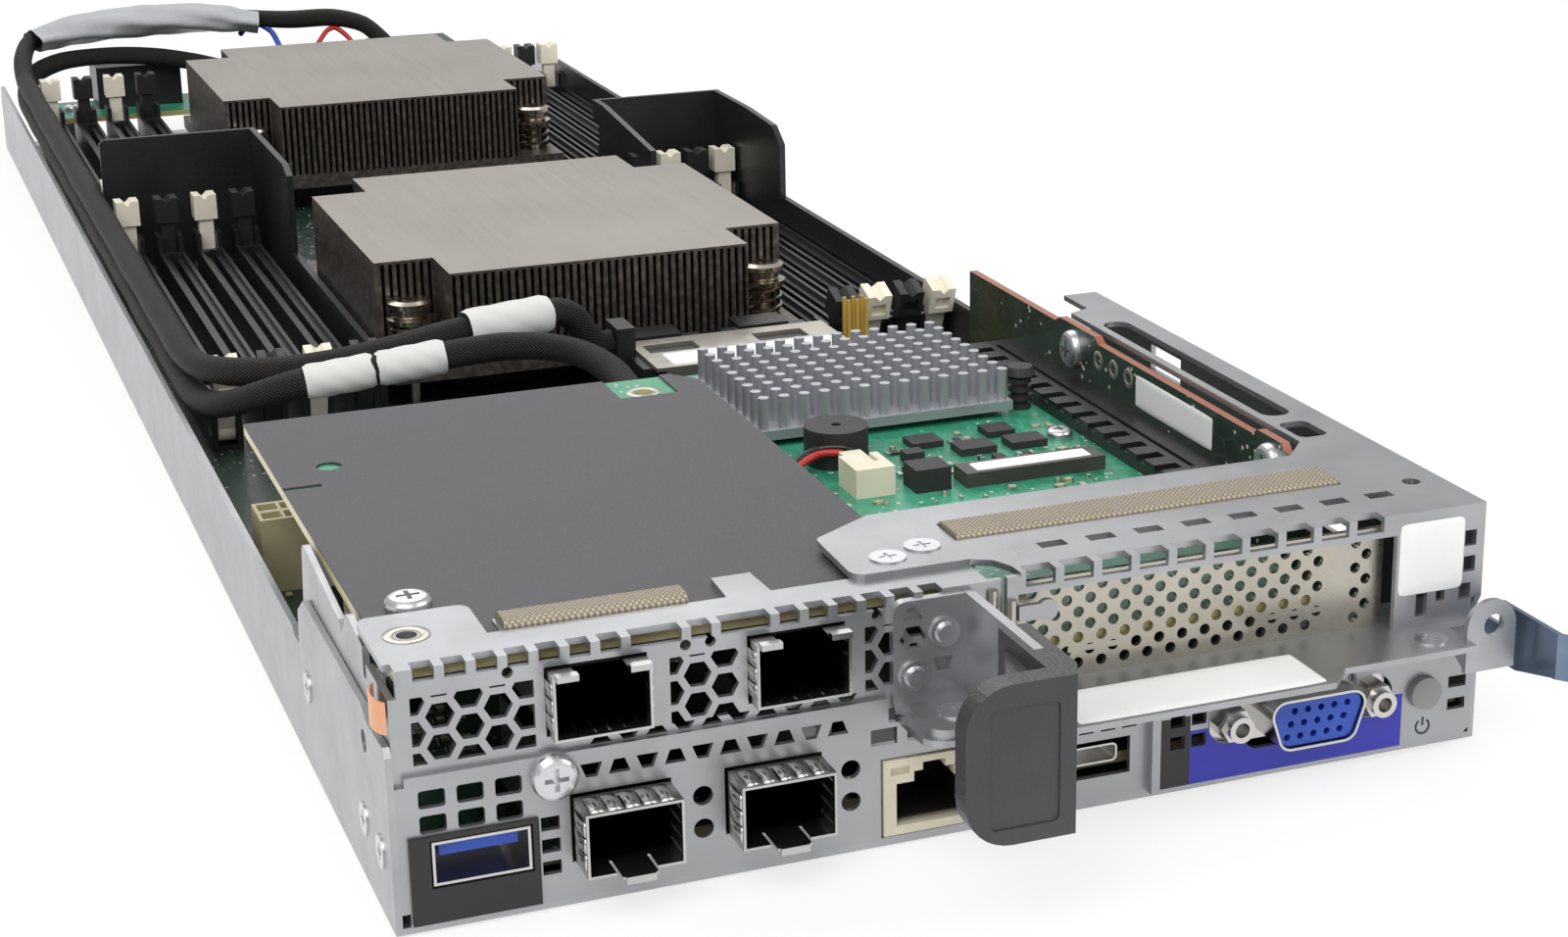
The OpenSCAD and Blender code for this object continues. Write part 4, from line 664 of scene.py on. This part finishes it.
def finish_piece(
    piece: bpy.types.Object, material: bpy.types.Material, body: str = "sled"
) -> bpy.types.Object:
    """Dresses a new piece and makes it ride on a body.

    Args:
        piece: the new object.
        material: its finish.
        body: the CAD body it moves with.

    Returns:
        The same object.
    """
    piece.data.materials.append(material)
    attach(piece, body)
    LOG.info("made %s: %d faces", piece.name, len(piece.data.polygons))
    return piece


def smooth_route(points: np.ndarray, step: float) -> np.ndarray:
    """Samples a centripetal spline through a route's points.

    Each span is p(t) = (2b + (c - a)t + (2a - 5b + 4c - d)t^2 + (3b - a - 3c + d)t^3) / 2.

    Args:
        points: route points, in millimetres.
        step: greatest spacing of the samples, in millimetres.

    Returns:
        The samples, in millimetres.
    """
    p = np.vstack([2 * points[0] - points[1], points, 2 * points[-1] - points[-2]])
    out = []
    for n in range(1, len(p) - 2):
        a, b, c, d = p[n - 1], p[n], p[n + 1], p[n + 2]
        span = np.linalg.norm(c - b)
        a = b + (a - b) * min(1.0, span / max(np.linalg.norm(a - b), 1e-6))
        d = c + (d - c) * min(1.0, span / max(np.linalg.norm(d - c), 1e-6))
        count = max(2, int(math.ceil(span / step)))
        t = np.linspace(0, 1, count, endpoint=False)[:, None]
        out.append(
            (2 * b + (c - a) * t + (2 * a - 5 * b + 4 * c - d) * t**2 + (3 * b - a - 3 * c + d) * t**3) / 2
        )
    out.append(points[-1][None])
    return np.vstack(out)


def swept(
    path: np.ndarray, width: np.ndarray, height: np.ndarray, sides: int
) -> tuple[np.ndarray, np.ndarray]:
    """Carries an ellipse along a path: q(s, a) = p(s) + w cos(a) side(s) + h sin(a) up(s).

    Args:
        path: centre line, in millimetres.
        width: half-width at each point of the path, or at each point and angle.
        height: half-height at the same places.
        sides: points round the ellipse.

    Returns:
        The surface's points in metres, and its chart with u in millimetres and v in turns.
    """
    tangent = np.gradient(path, axis=0)
    tangent /= np.linalg.norm(tangent, axis=1, keepdims=True)
    side = np.cross(tangent, [0.0, 0.0, 1.0])
    side /= np.maximum(np.linalg.norm(side, axis=1, keepdims=True), 1e-6)
    up = np.cross(side, tangent)
    turn = np.arange(sides) / sides
    c, s = np.cos(math.tau * turn)[None, :, None], np.sin(math.tau * turn)[None, :, None]
    width = np.broadcast_to(np.asarray(width, float).reshape(len(path), -1), (len(path), sides))[..., None]
    height = np.broadcast_to(
        np.asarray(height, float).reshape(len(path), -1), (len(path), sides)
    )[..., None]
    points = path[:, None] + width * c * side[:, None] + height * s * up[:, None]
    run = np.concatenate([[0], np.cumsum(np.linalg.norm(np.diff(path, axis=0), axis=1))])
    chart = np.stack(np.meshgrid(run, np.arange(sides + 1) / sides, indexing="ij"), -1)
    return sled(points[:, ::-1]), chart


def blocks(name: str, centres: np.ndarray, sizes: np.ndarray) -> bpy.types.Object:
    """Makes one mesh of many blocks: corner = centre + size x (+-1/2, +-1/2, +-1/2).

    Args:
        name: the piece's name.
        centres: n x 3 centres, in millimetres.
        sizes: n x 3 sizes, in millimetres.

    Returns:
        The new object.
    """
    unit = np.array([[x, y, z] for x in (-0.5, 0.5) for y in (-0.5, 0.5) for z in (-0.5, 0.5)])
    quads = np.array([[0, 1, 3, 2], [4, 6, 7, 5], [0, 4, 5, 1], [2, 3, 7, 6], [0, 2, 6, 4], [1, 5, 7, 3]])
    points = centres[:, None] + sizes[:, None] * unit
    faces = (np.arange(len(centres)) * 8)[:, None, None] + quads
    mesh = bpy.data.meshes.new(name)
    mesh.from_pydata(sled(points.reshape(-1, 3)).tolist(), [], faces.reshape(-1, 4).tolist())
    return shown(name, mesh, smooth=False)


# ---- Sub-assemblies ----


@dataclass
class SleevedCable:
    """One sleeved cable along its whole route."""

    name: str
    node: str
    radius: float
    route: tuple[Point, ...]
    sides: int = 20
    swell: float = 0.05

    def build(self, finishes: Finishes) -> bpy.types.Object:
        """Builds the sleeve: radius = r (1 + small slow waves), dressed with the braid.

        Args:
            finishes: the shared finishes.

        Returns:
            The cable.
        """
        path = smooth_route(np.array(self.route), 2.5)
        s = np.arange(len(path))
        wave = 1 - self.swell + self.swell * np.sin(s * 0.31) * np.sin(s * 0.083 + 1)
        points, chart = swept(path, self.radius * wave, self.radius * wave, self.sides)
        piece = patch(self.name, points, closed=True, chart=chart)
        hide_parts(self.node)
        return finish_piece(piece, finishes.get(finishes.braid))


@dataclass
class TapeSleeves:
    """Cloth tapes wrapped round the cables."""

    node: str = "cable_sleeves"
    spans: tuple[tuple[Point, Point, float], ...] = (
        ((48.4, 167.107, 33.44), (35.2, 167.987, 32.12), 3.55),
        ((34.6, 168.027, 32.06), (21.4, 168.907, 30.74), 3.55),
        ((74.4, 187.128, 34.105), (56.2, 182.829, 33.699), 4.1),
    )

    def build(self, finishes: Finishes) -> bpy.types.Object:
        """Builds every tape as one piece: r = R + creases sin(3a + s) with rolled-in ends."""
        parts, charts = [], []
        for number, (start, end, radius) in enumerate(self.spans):
            t = np.linspace(0, 1, 15)
            path = np.array(start) + t[:, None] * (np.array(end) - np.array(start))
            angle = math.tau * np.arange(28) / 28
            crease = 0.16 * np.sin(
                3 * angle[None] + 9 * t[:, None] + number
            ) * np.sin(7 * t[:, None] + 2 * angle[None])
            lip = -0.4 * np.exp(-((t[:, None] * 14) ** 2) / 0.3) - 0.4 * np.exp(
                -(((1 - t[:, None]) * 14) ** 2) / 0.3
            )
            radius_map = radius - 0.12 + crease + lip
            points, chart = swept(path, radius_map, radius_map, 28)
            parts.append(points)
            charts.append(chart)
        pieces = [
            patch(f"tape_{n + 1}", p, closed=True, chart=c) for n, (p, c) in enumerate(zip(parts, charts))
        ]
        for piece in pieces:
            finish_piece(piece, finishes.get(finishes.tape))
        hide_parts(self.node)
        return pieces[0]


@dataclass
class RearWrap:
    """Silver cloth wrapped round the cables where they turn at the rear corner."""

    route: tuple[Point, ...] = (
        (10, 555, 36.4), (20, 558.6, 38), (34, 559.6, 39.2), (50, 559.6, 39.9), (64, 558.8, 39.4),
        (80, 557, 37.4)
    )
    half_width: float = 8.6
    half_height: float = 4.6

    def build(self, finishes: Finishes) -> bpy.types.Object:
        """Builds the wrap: a fat ellipse with folds 0.5 sin(5a + 0.4s), gathered in at both ends."""
        path = smooth_route(np.array(self.route), 1.2)
        t = np.linspace(0, 1, len(path))[:, None]
        angle = math.tau * np.arange(36)[None] / 36
        gather = 0.72 + 0.28 * np.sin(math.pi * np.clip(t * 1.15 - 0.05, 0, 1)) ** 0.5
        folds = 0.45 * np.sin(5 * angle + 14 * t) + 0.3 * np.sin(3 * angle - 25 * t) * np.sin(9 * t)
        points, chart = swept(
            path, self.half_width * gather + folds, self.half_height * gather + folds * 0.7, 36
        )
        piece = patch("rear_cloth_wrap", points, closed=True, chart=chart)
        return finish_piece(piece, finishes.get(finishes.wrap))


@dataclass
class Plate:
    """A thin bare plate or film stuck on a flat face, with round corners."""

    name: str
    side: Side
    low: tuple[float, float]
    high: tuple[float, float]
    level: float
    slot: str = "white_tape"
    lift: float = 0.12
    corner: float = 0.8
    outward: int = 1

    def build(self, finishes: Finishes, finish: object, body: str = "sled") -> bpy.types.Object:
        """Builds the plate: a super-ellipse grid (x, y) = c + h sgn(cos a)|cos a|^k with a turned edge.

        Args:
            finishes: the shared finishes.
            finish: what the plate is made of.
            body: the CAD body that carries it.

        Returns:
            The plate.
        """
        low, high = np.array(self.low), np.array(self.high)
        centre, half = (low + high) / 2, (high - low) / 2
        angle = math.tau * np.arange(64) / 64
        box = np.stack([np.cos(angle), np.sin(angle)], -1)
        box /= np.maximum(np.abs(box).max(1, keepdims=True), 1e-9)
        inner = half - self.corner
        rim = box * half
        over = np.clip(np.abs(rim) - inner, 0, None)
        length = np.maximum(np.linalg.norm(over, axis=1, keepdims=True), 1e-9)
        rim = np.sign(rim) * (
            np.minimum(np.abs(rim), inner) + over / length * np.minimum(length, self.corner)
        )
        share = np.array([1.0, 1.0, 0.985, 0.66, 0.33, 0.0])[:, None, None]
        height = np.array([0.0, 0.7, 1.0, 1.0, 1.0, 1.0])[:, None] * self.lift * np.ones((1, 64))
        flat = centre + rim[None] * share
        points = np.zeros((6, 64, 3))
        first, second = self.side.value
        third = 3 - first - second
        points[..., first], points[..., second] = flat[..., 0], flat[..., 1]
        points[..., third] = self.level + self.outward * height
        piece = patch(self.name, sled(points), closed=True)
        return finish_piece(piece, finishes.get(finish), body)


@dataclass
class SpringFingers:
    """Sprung metal fingers that stand in the windows round a cage's mouth."""

    corner: Point
    width: float = 14.25
    height: float = 9.8
    bulge: float = 0.5
    up: int = 1
    name: str = "cage_fingers"

    def strip(self, x: np.ndarray, base: float, out: int, upright: bool) -> np.ndarray:
        """Works out one finger: out(t) = bulge sin(pi t)^0.8 between y0 + 0.6 and y0 + 5.8.

        Args:
            x: the finger's two edges.
            base: the wall's plane.
            out: which way the finger bulges.
            upright: whether it stands on a side wall.

        Returns:
            A grid of points, in millimetres.
        """
        t = np.linspace(0, 1, 9)
        y = self.corner[1] + 0.5 + 5.4 * t
        swell = base + out * (0.04 + self.bulge * np.sin(math.pi * t) ** 0.8)
        grid = np.zeros((9, 2, 3))
        grid[..., 1] = y[:, None]
        grid[..., 2 if upright else 0] = x[None]
        grid[..., 0 if upright else 2] = swell[:, None]
        return grid

    def build(self, finishes: Finishes) -> bpy.types.Object:
        """Builds all of one cage's fingers as one mesh with a thin wall."""
        x0, _, z0 = self.corner
        top = z0 + (self.height if self.up > 0 else 0)
        grids = [
            self.strip(
                np.array([x0 + 0.9 + 2.55 * k, x0 + 3.1 + 2.55 * k]), top, self.up, False
            ) for k in range(5)
        ]
        for base, out in ((x0, -1), (x0 + self.width, 1)):
            for k in range(3):
                z = 1.3 + 2.5 * k
                z = z0 + z if self.up > 0 else z0 + self.height - z - 2.1
                grids.append(self.strip(np.array([z, z + 2.1]), base, out, True))
        points = np.stack(grids)
        count, rows, columns = points.shape[:3]
        i, j = np.meshgrid(np.arange(count), np.arange(rows - 1), indexing="ij")
        a = i * rows * columns + j * columns
        faces = np.stack([a, a + 1, a + 3, a + 2], -1).reshape(-1, 4)
        mesh = bpy.data.meshes.new(self.name)
        mesh.from_pydata(sled(points.reshape(-1, 3)).tolist(), [], faces.tolist())
        piece = shown(self.name, mesh)
        wall = piece.modifiers.new("wall", "SOLIDIFY")
        wall.thickness = 0.00015
        return finish_piece(piece, finishes.get(finishes.bright))


@dataclass
class SmallParts:
    """Surface-mounted parts scattered over one zone of a board."""

    name: str
    low: tuple[float, float]
    high: tuple[float, float]
    level: float
    count: int
    seed: int
    keep_out: tuple[tuple[float, float, float, float], ...] = ()
    size: tuple[float, float] = (1.0, 2.0)

    def build(self, finishes: Finishes) -> list[bpy.types.Object]:
        """Builds the parts as bodies and bright end caps, on a 0.5 mm layout grid.

        Args:
            finishes: the shared finishes.

        Returns:
            The bodies and the caps.
        """
        rng = np.random.default_rng(self.seed)
        spot = rng.uniform(self.low, self.high, (self.count, 2))
        spot = np.round(spot * 2) / 2
        clear = np.ones(len(spot), bool)
        for x0, y0, x1, y1 in self.keep_out:
            clear &= ~(
                (
                    spot[:, 0] > x0 - 1.2
                ) & (spot[:, 0] < x1 + 1.2) & (spot[:, 1] > y0 - 1.2) & (spot[:, 1] < y1 + 1.2)
            )
        spot = spot[clear]
        length = rng.choice([self.size[0], self.size[1]], len(spot))
        turned = rng.random(len(spot)) < 0.5
        breadth = length * 0.5
        tall = rng.uniform(0.35, 0.8, len(spot))
        sizes = np.stack([np.where(turned, breadth, length), np.where(turned, length, breadth), tall], -1)
        centres = np.column_stack([spot, self.level + tall / 2])
        body = finish_piece(
            blocks(self.name + "_bodies", centres, sizes),
            finishes.get(finishes.tan if self.seed % 2 else finishes.chip)
        )
        caps = []
        for end in (-1, 1):
            shift = np.where(turned[:, None], [[0, 1, 0]], [[1, 0, 0]]) * (length * 0.4)[:, None] * end
            caps.append(centres + shift)
        cap_size = sizes * np.where(turned[:, None], [[1.06, 0.24, 1.06]], [[0.24, 1.06, 1.06]])
        ends = finish_piece(
            blocks(self.name + "_ends", np.vstack(caps), np.vstack([cap_size, cap_size])),
            finishes.get(finishes.bright)
        )
        return [body, ends]


@dataclass
class RingPad:
    """A flat tinned ring round a board's mounting hole."""

    name: str
    centre: Point
    inner: float
    outer: float
    side: Side = Side.TOP
    outward: int = 1

    def build(self, finishes: Finishes) -> bpy.types.Object:
        """Builds the ring: (r, a) -> centre + r (cos a, sin a), raised 0.06 mm with a round edge."""
        radius = np.array([self.inner, self.inner + 0.05, self.outer - 0.05, self.outer])[:, None]
        lift = np.array([0.0, 0.06, 0.06, 0.0])[:, None] * np.ones((1, 40))
        angle = math.tau * np.arange(40)[None] / 40
        points = np.zeros((4, 40, 3))
        first, second = self.side.value
        third = 3 - first - second
        points[..., first] = self.centre[first] + radius * np.cos(angle)
        points[..., second] = self.centre[second] + radius * np.sin(angle)
        points[..., third] = self.centre[third] + self.outward * lift
        return finish_piece(
            patch(self.name, sled(points), closed=True), finishes.get(finishes.frame)
        )


@dataclass
class PowerMark:
    """The usual on-off mark under the button: a broken ring with a bar."""

    centre: tuple[float, float] = (163.8, 4.2)
    radius: float = 1.2
    face: float = -1.6

    def build(self, finishes: Finishes) -> bpy.types.Object:
        """Builds the mark from a ring arc of 290 degrees and a bar, 0.05 mm proud."""
        angle = np.radians(np.linspace(125, 415, 40))
        radius = np.array([self.radius - 0.16, self.radius + 0.16])
        points = np.zeros((2, 40, 3))
        points[..., 0] = self.centre[0] + radius[:, None] * np.cos(angle)
        points[..., 2] = self.centre[1] + radius[:, None] * np.sin(angle)
        points[..., 1] = self.face - 0.05
        ring = patch("power_mark_ring", sled(points))
        finish_piece(ring, finishes.get(finishes.ink))
        bar = blocks(
            "power_mark_bar", np.array([[self.centre[0], self.face - 0.03, self.centre[1] + 0.9]]),
            np.array([[0.32, 0.05, 1.4]])
        )
        return finish_piece(bar, finishes.get(finishes.ink))


@dataclass
class Wire:
    """A bare insulated wire from a small plug."""

    name: str
    route: tuple[Point, ...]
    radius: float
    colour: Colour

    def build(self, finishes: Finishes) -> bpy.types.Object:
        """Builds the wire as a swept circle, 10 sides."""
        path = smooth_route(np.array(self.route), 0.8)
        points, chart = swept(path, np.full(len(path), self.radius), np.full(len(path), self.radius), 10)
        piece = patch(self.name, points, closed=True, chart=chart)
        return finish_piece(
            piece, finishes.get(Moulding(self.name + "_skin", self.colour, 0.35))
        )


# ---- Studio ----


@dataclass
class Viewpoint:
    """The camera: where it stands, how it is turned and its lens."""

    azimuth: float = -21.66
    elevation: float = 17.96
    roll: float = -0.50
    place: Point = (-64.59, -345.06, 183.42)
    lens: float = 63.77
    shift: tuple[float, float] = (-0.0605, -0.01854)

    def build(self) -> None:
        """Makes the camera from its three turned axes: right, up and back."""
        a, e, r = (math.radians(v) for v in (self.azimuth, self.elevation, self.roll))
        back = np.array([math.sin(a) * math.cos(e), -math.cos(a) * math.cos(e), math.sin(e)])
        right = np.array([math.cos(a), math.sin(a), 0.0])
        up = np.cross(back, right)
        right, up = right * math.cos(r) + up * math.sin(r), -right * math.sin(r) + up * math.cos(r)
        data = bpy.data.cameras.new("view")
        data.lens, data.sensor_width = self.lens, 36.0
        data.shift_x, data.shift_y = self.shift
        data.clip_start, data.clip_end = 0.01, 20.0
        camera = bpy.data.objects.new("view", data)
        camera.matrix_world = Matrix.Translation(Vector(sled(np.array(self.place)))) @ Matrix(
            np.stack([right, up, back], 1).tolist()
        ).to_4x4()
        bpy.context.scene.collection.objects.link(camera)
        bpy.context.scene.camera = camera
        LOG.info("camera placed")


@dataclass
class Studio:
    """Pale floor, soft lamps and a plain bright surround."""

    floor_level: float = -0.0004
    surround: float = 0.62
    lamps: tuple[tuple[str, Point, Point, float, float], ...] = (
        ("key", (-0.7, -1.1, 1.5), (0.0, -0.05, 0.0), 1.6, 26.0),
        ("fill", (1.5, -0.9, 1.1), (0.0, 0.0, 0.0), 1.4, 12.0),
        ("rear", (0.1, 1.3, 1.4), (0.0, 0.1, 0.0), 1.6, 14.0),
    )

    def white_to_the_eye(
        self, name: str, under: bpy.types.NodeSocket | None, sheet: ShaderSheet, share: float
    ) -> None:
        """Mixes a shader with plain white for camera, glossy and transmission rays."""
        path = sheet.tree.nodes.new("ShaderNodeLightPath")
        seen = sheet.maths(
            "MAXIMUM", path.outputs["Is Camera Ray"],
            sheet.maths("MAXIMUM", path.outputs["Is Glossy Ray"], path.outputs["Is Transmission Ray"])
        )
        white = sheet.tree.nodes.new("ShaderNodeEmission")
        white.inputs["Strength"].default_value = 1.0
        mix = sheet.tree.nodes.new("ShaderNodeMixShader")
        sheet.link(sheet.maths("MULTIPLY", seen, share), mix.inputs[0])
        sheet.link(under, mix.inputs[1])
        sheet.link(white.outputs[0], mix.inputs[2])
        sheet.link(mix.outputs[0], sheet.output.inputs["Surface"])
        LOG.info("%s is pale", name)

    def build(self) -> None:
        """Makes the floor, the lamps and the world."""
        size = 6.0
        mesh = bpy.data.meshes.new("floor")
        mesh.from_pydata(
            [
                (-size, -size, self.floor_level), (size, -size, self.floor_level),
                (size, size, self.floor_level), (-size, size, self.floor_level)
            ],
            [], [(0, 1, 2, 3)]
        )
        floor = shown("floor", mesh)
        sheet = ShaderSheet("pale_floor")
        diffuse = sheet.tree.nodes.new("ShaderNodeBsdfDiffuse")
        diffuse.inputs["Color"].default_value = (0.95, 0.95, 0.95, 1)
        self.white_to_the_eye("floor", diffuse.outputs[0], sheet, 0.72)
        mesh.materials.append(sheet.material)
        for name, place, aim, width, power in self.lamps:
            data = bpy.data.lights.new(name, "AREA")
            data.shape, data.size, data.energy = "SQUARE", width, power
            lamp = bpy.data.objects.new(name, data)
            turn = (Vector(place) - Vector(aim)).to_track_quat("Z", "Y")
            lamp.matrix_world = Matrix.Translation(Vector(place)) @ turn.to_matrix().to_4x4()
            bpy.context.scene.collection.objects.link(lamp)
        world = bpy.data.worlds.new("surround")
        world.use_nodes = True
        tree = world.node_tree
        tree.nodes.clear()
        path = tree.nodes.new("ShaderNodeLightPath")
        dim, bright = tree.nodes.new("ShaderNodeBackground"), tree.nodes.new("ShaderNodeBackground")
        dim.inputs["Strength"].default_value = self.surround
        bright.inputs["Strength"].default_value = 1.0
        mix, end = tree.nodes.new("ShaderNodeMixShader"), tree.nodes.new("ShaderNodeOutputWorld")
        seen = tree.nodes.new("ShaderNodeMath")
        seen.operation = "MAXIMUM"
        tree.links.new(path.outputs["Is Camera Ray"], seen.inputs[0])
        tree.links.new(path.outputs["Is Transmission Ray"], seen.inputs[1])
        tree.links.new(seen.outputs[0], mix.inputs[0])
        tree.links.new(dim.outputs[0], mix.inputs[1])
        tree.links.new(bright.outputs[0], mix.inputs[2])
        tree.links.new(mix.outputs[0], end.inputs["Surface"])
        bpy.context.scene.world = world
        bpy.context.scene.view_settings.view_transform = "Standard"
        LOG.info("studio lit")


@dataclass
class Details:
    """Everything that stands on the solids: cables, plates, fingers, pads and small parts."""

    finishes: Finishes
    cables: tuple[SleevedCable, ...] = (
        SleevedCable("sleeved_cable_low", "cable_loom", 2.9, (
            (76, 128.6, 31.5), (76, 135, 31.5), (75.6, 145, 33), (72.6, 155, 34.2), (66.6, 162, 34.6),
            (59, 165.6, 34.4), (50, 167, 33.6), (20, 169, 30.6), (12.6, 174.6, 27.4), (7.4, 183, 24),
            (5, 194, 22), (4.4, 210, 21.4), (4.4, 530, 21.8), (5.6, 541, 24.2), (9.6, 550, 27.4),
            (18, 553.6, 29.8),
            (32, 553, 30.6), (46, 551.4, 29.6), (58, 549, 27.4), (66, 547.4, 25.2), (71, 547, 24.2),
            (75, 547, 24), (80, 547, 24))),
        SleevedCable("sleeved_cable_high", "cable_loom_front", 2.9, (
            (88.6, 190, 25.6), (85.6, 190, 25.6), (82.6, 189.4, 28.6), (80.4, 188.6, 32.2),
            (76.4, 187.6, 34.15), (54, 182.31, 33.65), (40, 180, 32), (29, 179.8, 30.8), (18.6, 182, 29.8),
            (10.6, 188, 29), (6, 198, 28), (4.5, 212, 27.6), (4.5, 530, 28.2), (5.6, 545, 33),
            (10, 556, 36.6), (22, 562, 38.6), (40, 563.4, 39.6), (58, 562.6, 40), (74, 560.6, 38.6),
            (90, 558.6, 37.2), (104, 556.6, 37.2), (113, 553, 35), (118.4, 549.6, 30), (121.6, 547.4, 25.8),
            (124.6, 547, 24), (128, 547, 24))),
    )
    plates: tuple[Plate, ...] = (
        Plate("cage_label", Side.FRONT, (159.0, 26.2), (170.6, 38.0), 0.0, outward=-1),
        Plate("shelf_label", Side.TOP, (98, -13.4), (139, -1.9), 20.5, corner=0.5),
        Plate("connector_label", Side.TOP, (120, 73.4), (142, 77.4), 29.4, corner=0.4),
        Plate("drive_port_label", Side.TOP, (97, 174.2), (134, 182.8), 24.0, corner=0.5),
        Plate("riser_label", Side.LEFT, (62.7, 31), (92, 37), 160.0, corner=0.4, outward=-1),
    )

    def build(self) -> None:
        """Builds every piece in order, from the cables to the smallest parts."""
        done = self.finishes
        for cable in self.cables:
            cable.build(done)
        TapeSleeves().build(done)
        RearWrap().build(done)
        for plate in self.plates:
            plate.build(done, done.paper)
        PowerMark().build(done)
        for name, corner, up, bulge in (
            ("lower_left", (25.8, -7, 6.8), 1, 0.35), ("lower_right", (48.6, -7, 6.8), 1, 0.35),
            ("upper_left", (23.2, -2.4, 26.0), -1, 0.22), ("upper_right", (52.8, -2.4, 26.0), -1, 0.22)
        ):
            SpringFingers(corner, up=up, bulge=bulge, name=f"cage_fingers_{name}").build(done)
        RingPad("network_card_pad", (73, 116.2, 37.4), 1.75, 3.2).build(done)
        RingPad("network_card_front_pad", (6.8, 13.6, 38.85), 1.9, 3.4).build(done)
        for n, y in enumerate((107.9, 101.5, 95.3)):
            RingPad(f"riser_pad_{n + 1}", (160, y, 35.3), 0.9, 1.9, Side.LEFT, -1).build(done)
        card_keep = (
            (97, 73, 108, 88), (116, 71, 146, 79), (89, 104, 149, 147), (95, 88, 109, 102),
            (116, 94, 124, 102), (131, 94, 139, 102), (122, 87, 132, 95), (133, 87, 143, 95),
            (107, 72, 116, 80), (140, 88, 150, 97), (111, 87, 118, 93)
        )
        SmallParts("add_in_card_parts", (91, 34), (147, 106), 26.8, 260, 3, card_keep).build(done)
        SmallParts(
            "add_in_card_drivers", (110, 78), (146, 106), 26.8, 60, 8, card_keep, (1.6, 3.0)
        ).build(done)
        SmallParts(
            "main_board_parts", (4, 30), (22, 120), 6.8, 150, 5,
            (
                (4, 92, 13, 100), (12, 85, 18, 91), (8, 107, 16, 113), (16, 100, 22, 108), (7, 71, 13, 77),
                (13, 62, 21, 70)
            ),
            (1.2, 2.2)
        ).build(done)
        Wire(
            "rear_wire_red",
            ((98, 552, 30), (101.5, 554.4, 33.4), (104.4, 555.6, 34), (108, 553.4, 31), (110, 550, 27)),
            0.8, (0.5, 0.015, 0.01)
        ).build(done)
        Wire(
            "rear_wire_blue",
            ((74, 556, 34), (77, 559, 36), (80, 560, 36.4), (84, 557.4, 34), (86, 553, 29)), 0.9,
            (0.03, 0.08, 0.5)
        ).build(done)
        Wire(
            "battery_wire_red",
            ((100.6, 86.6, 30), (100.4, 88.4, 30.6), (97, 90, 30.4), (93, 88.6, 29.4), (90.8, 85.6, 28.2)),
            0.65, (0.5, 0.015, 0.01)
        ).build(done)
        Wire(
            "battery_wire_black",
            ((102.2, 86.6, 30), (102, 89.2, 31), (97.6, 91.6, 30.8), (93, 90.4, 29.6), (90.4, 87.4, 28.2)),
            0.65, (0.012, 0.012, 0.012)
        ).build(done)


def main() -> None:
    """Builds the studio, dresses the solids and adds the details."""
    logging.basicConfig(level=logging.INFO, format="%(message)s")
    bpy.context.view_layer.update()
    Viewpoint().build()
    Studio().build()
    finishes = Finishes()
    finishes.dress_nodes()
    Details(finishes).build()


if __name__ == "__main__":
    main()
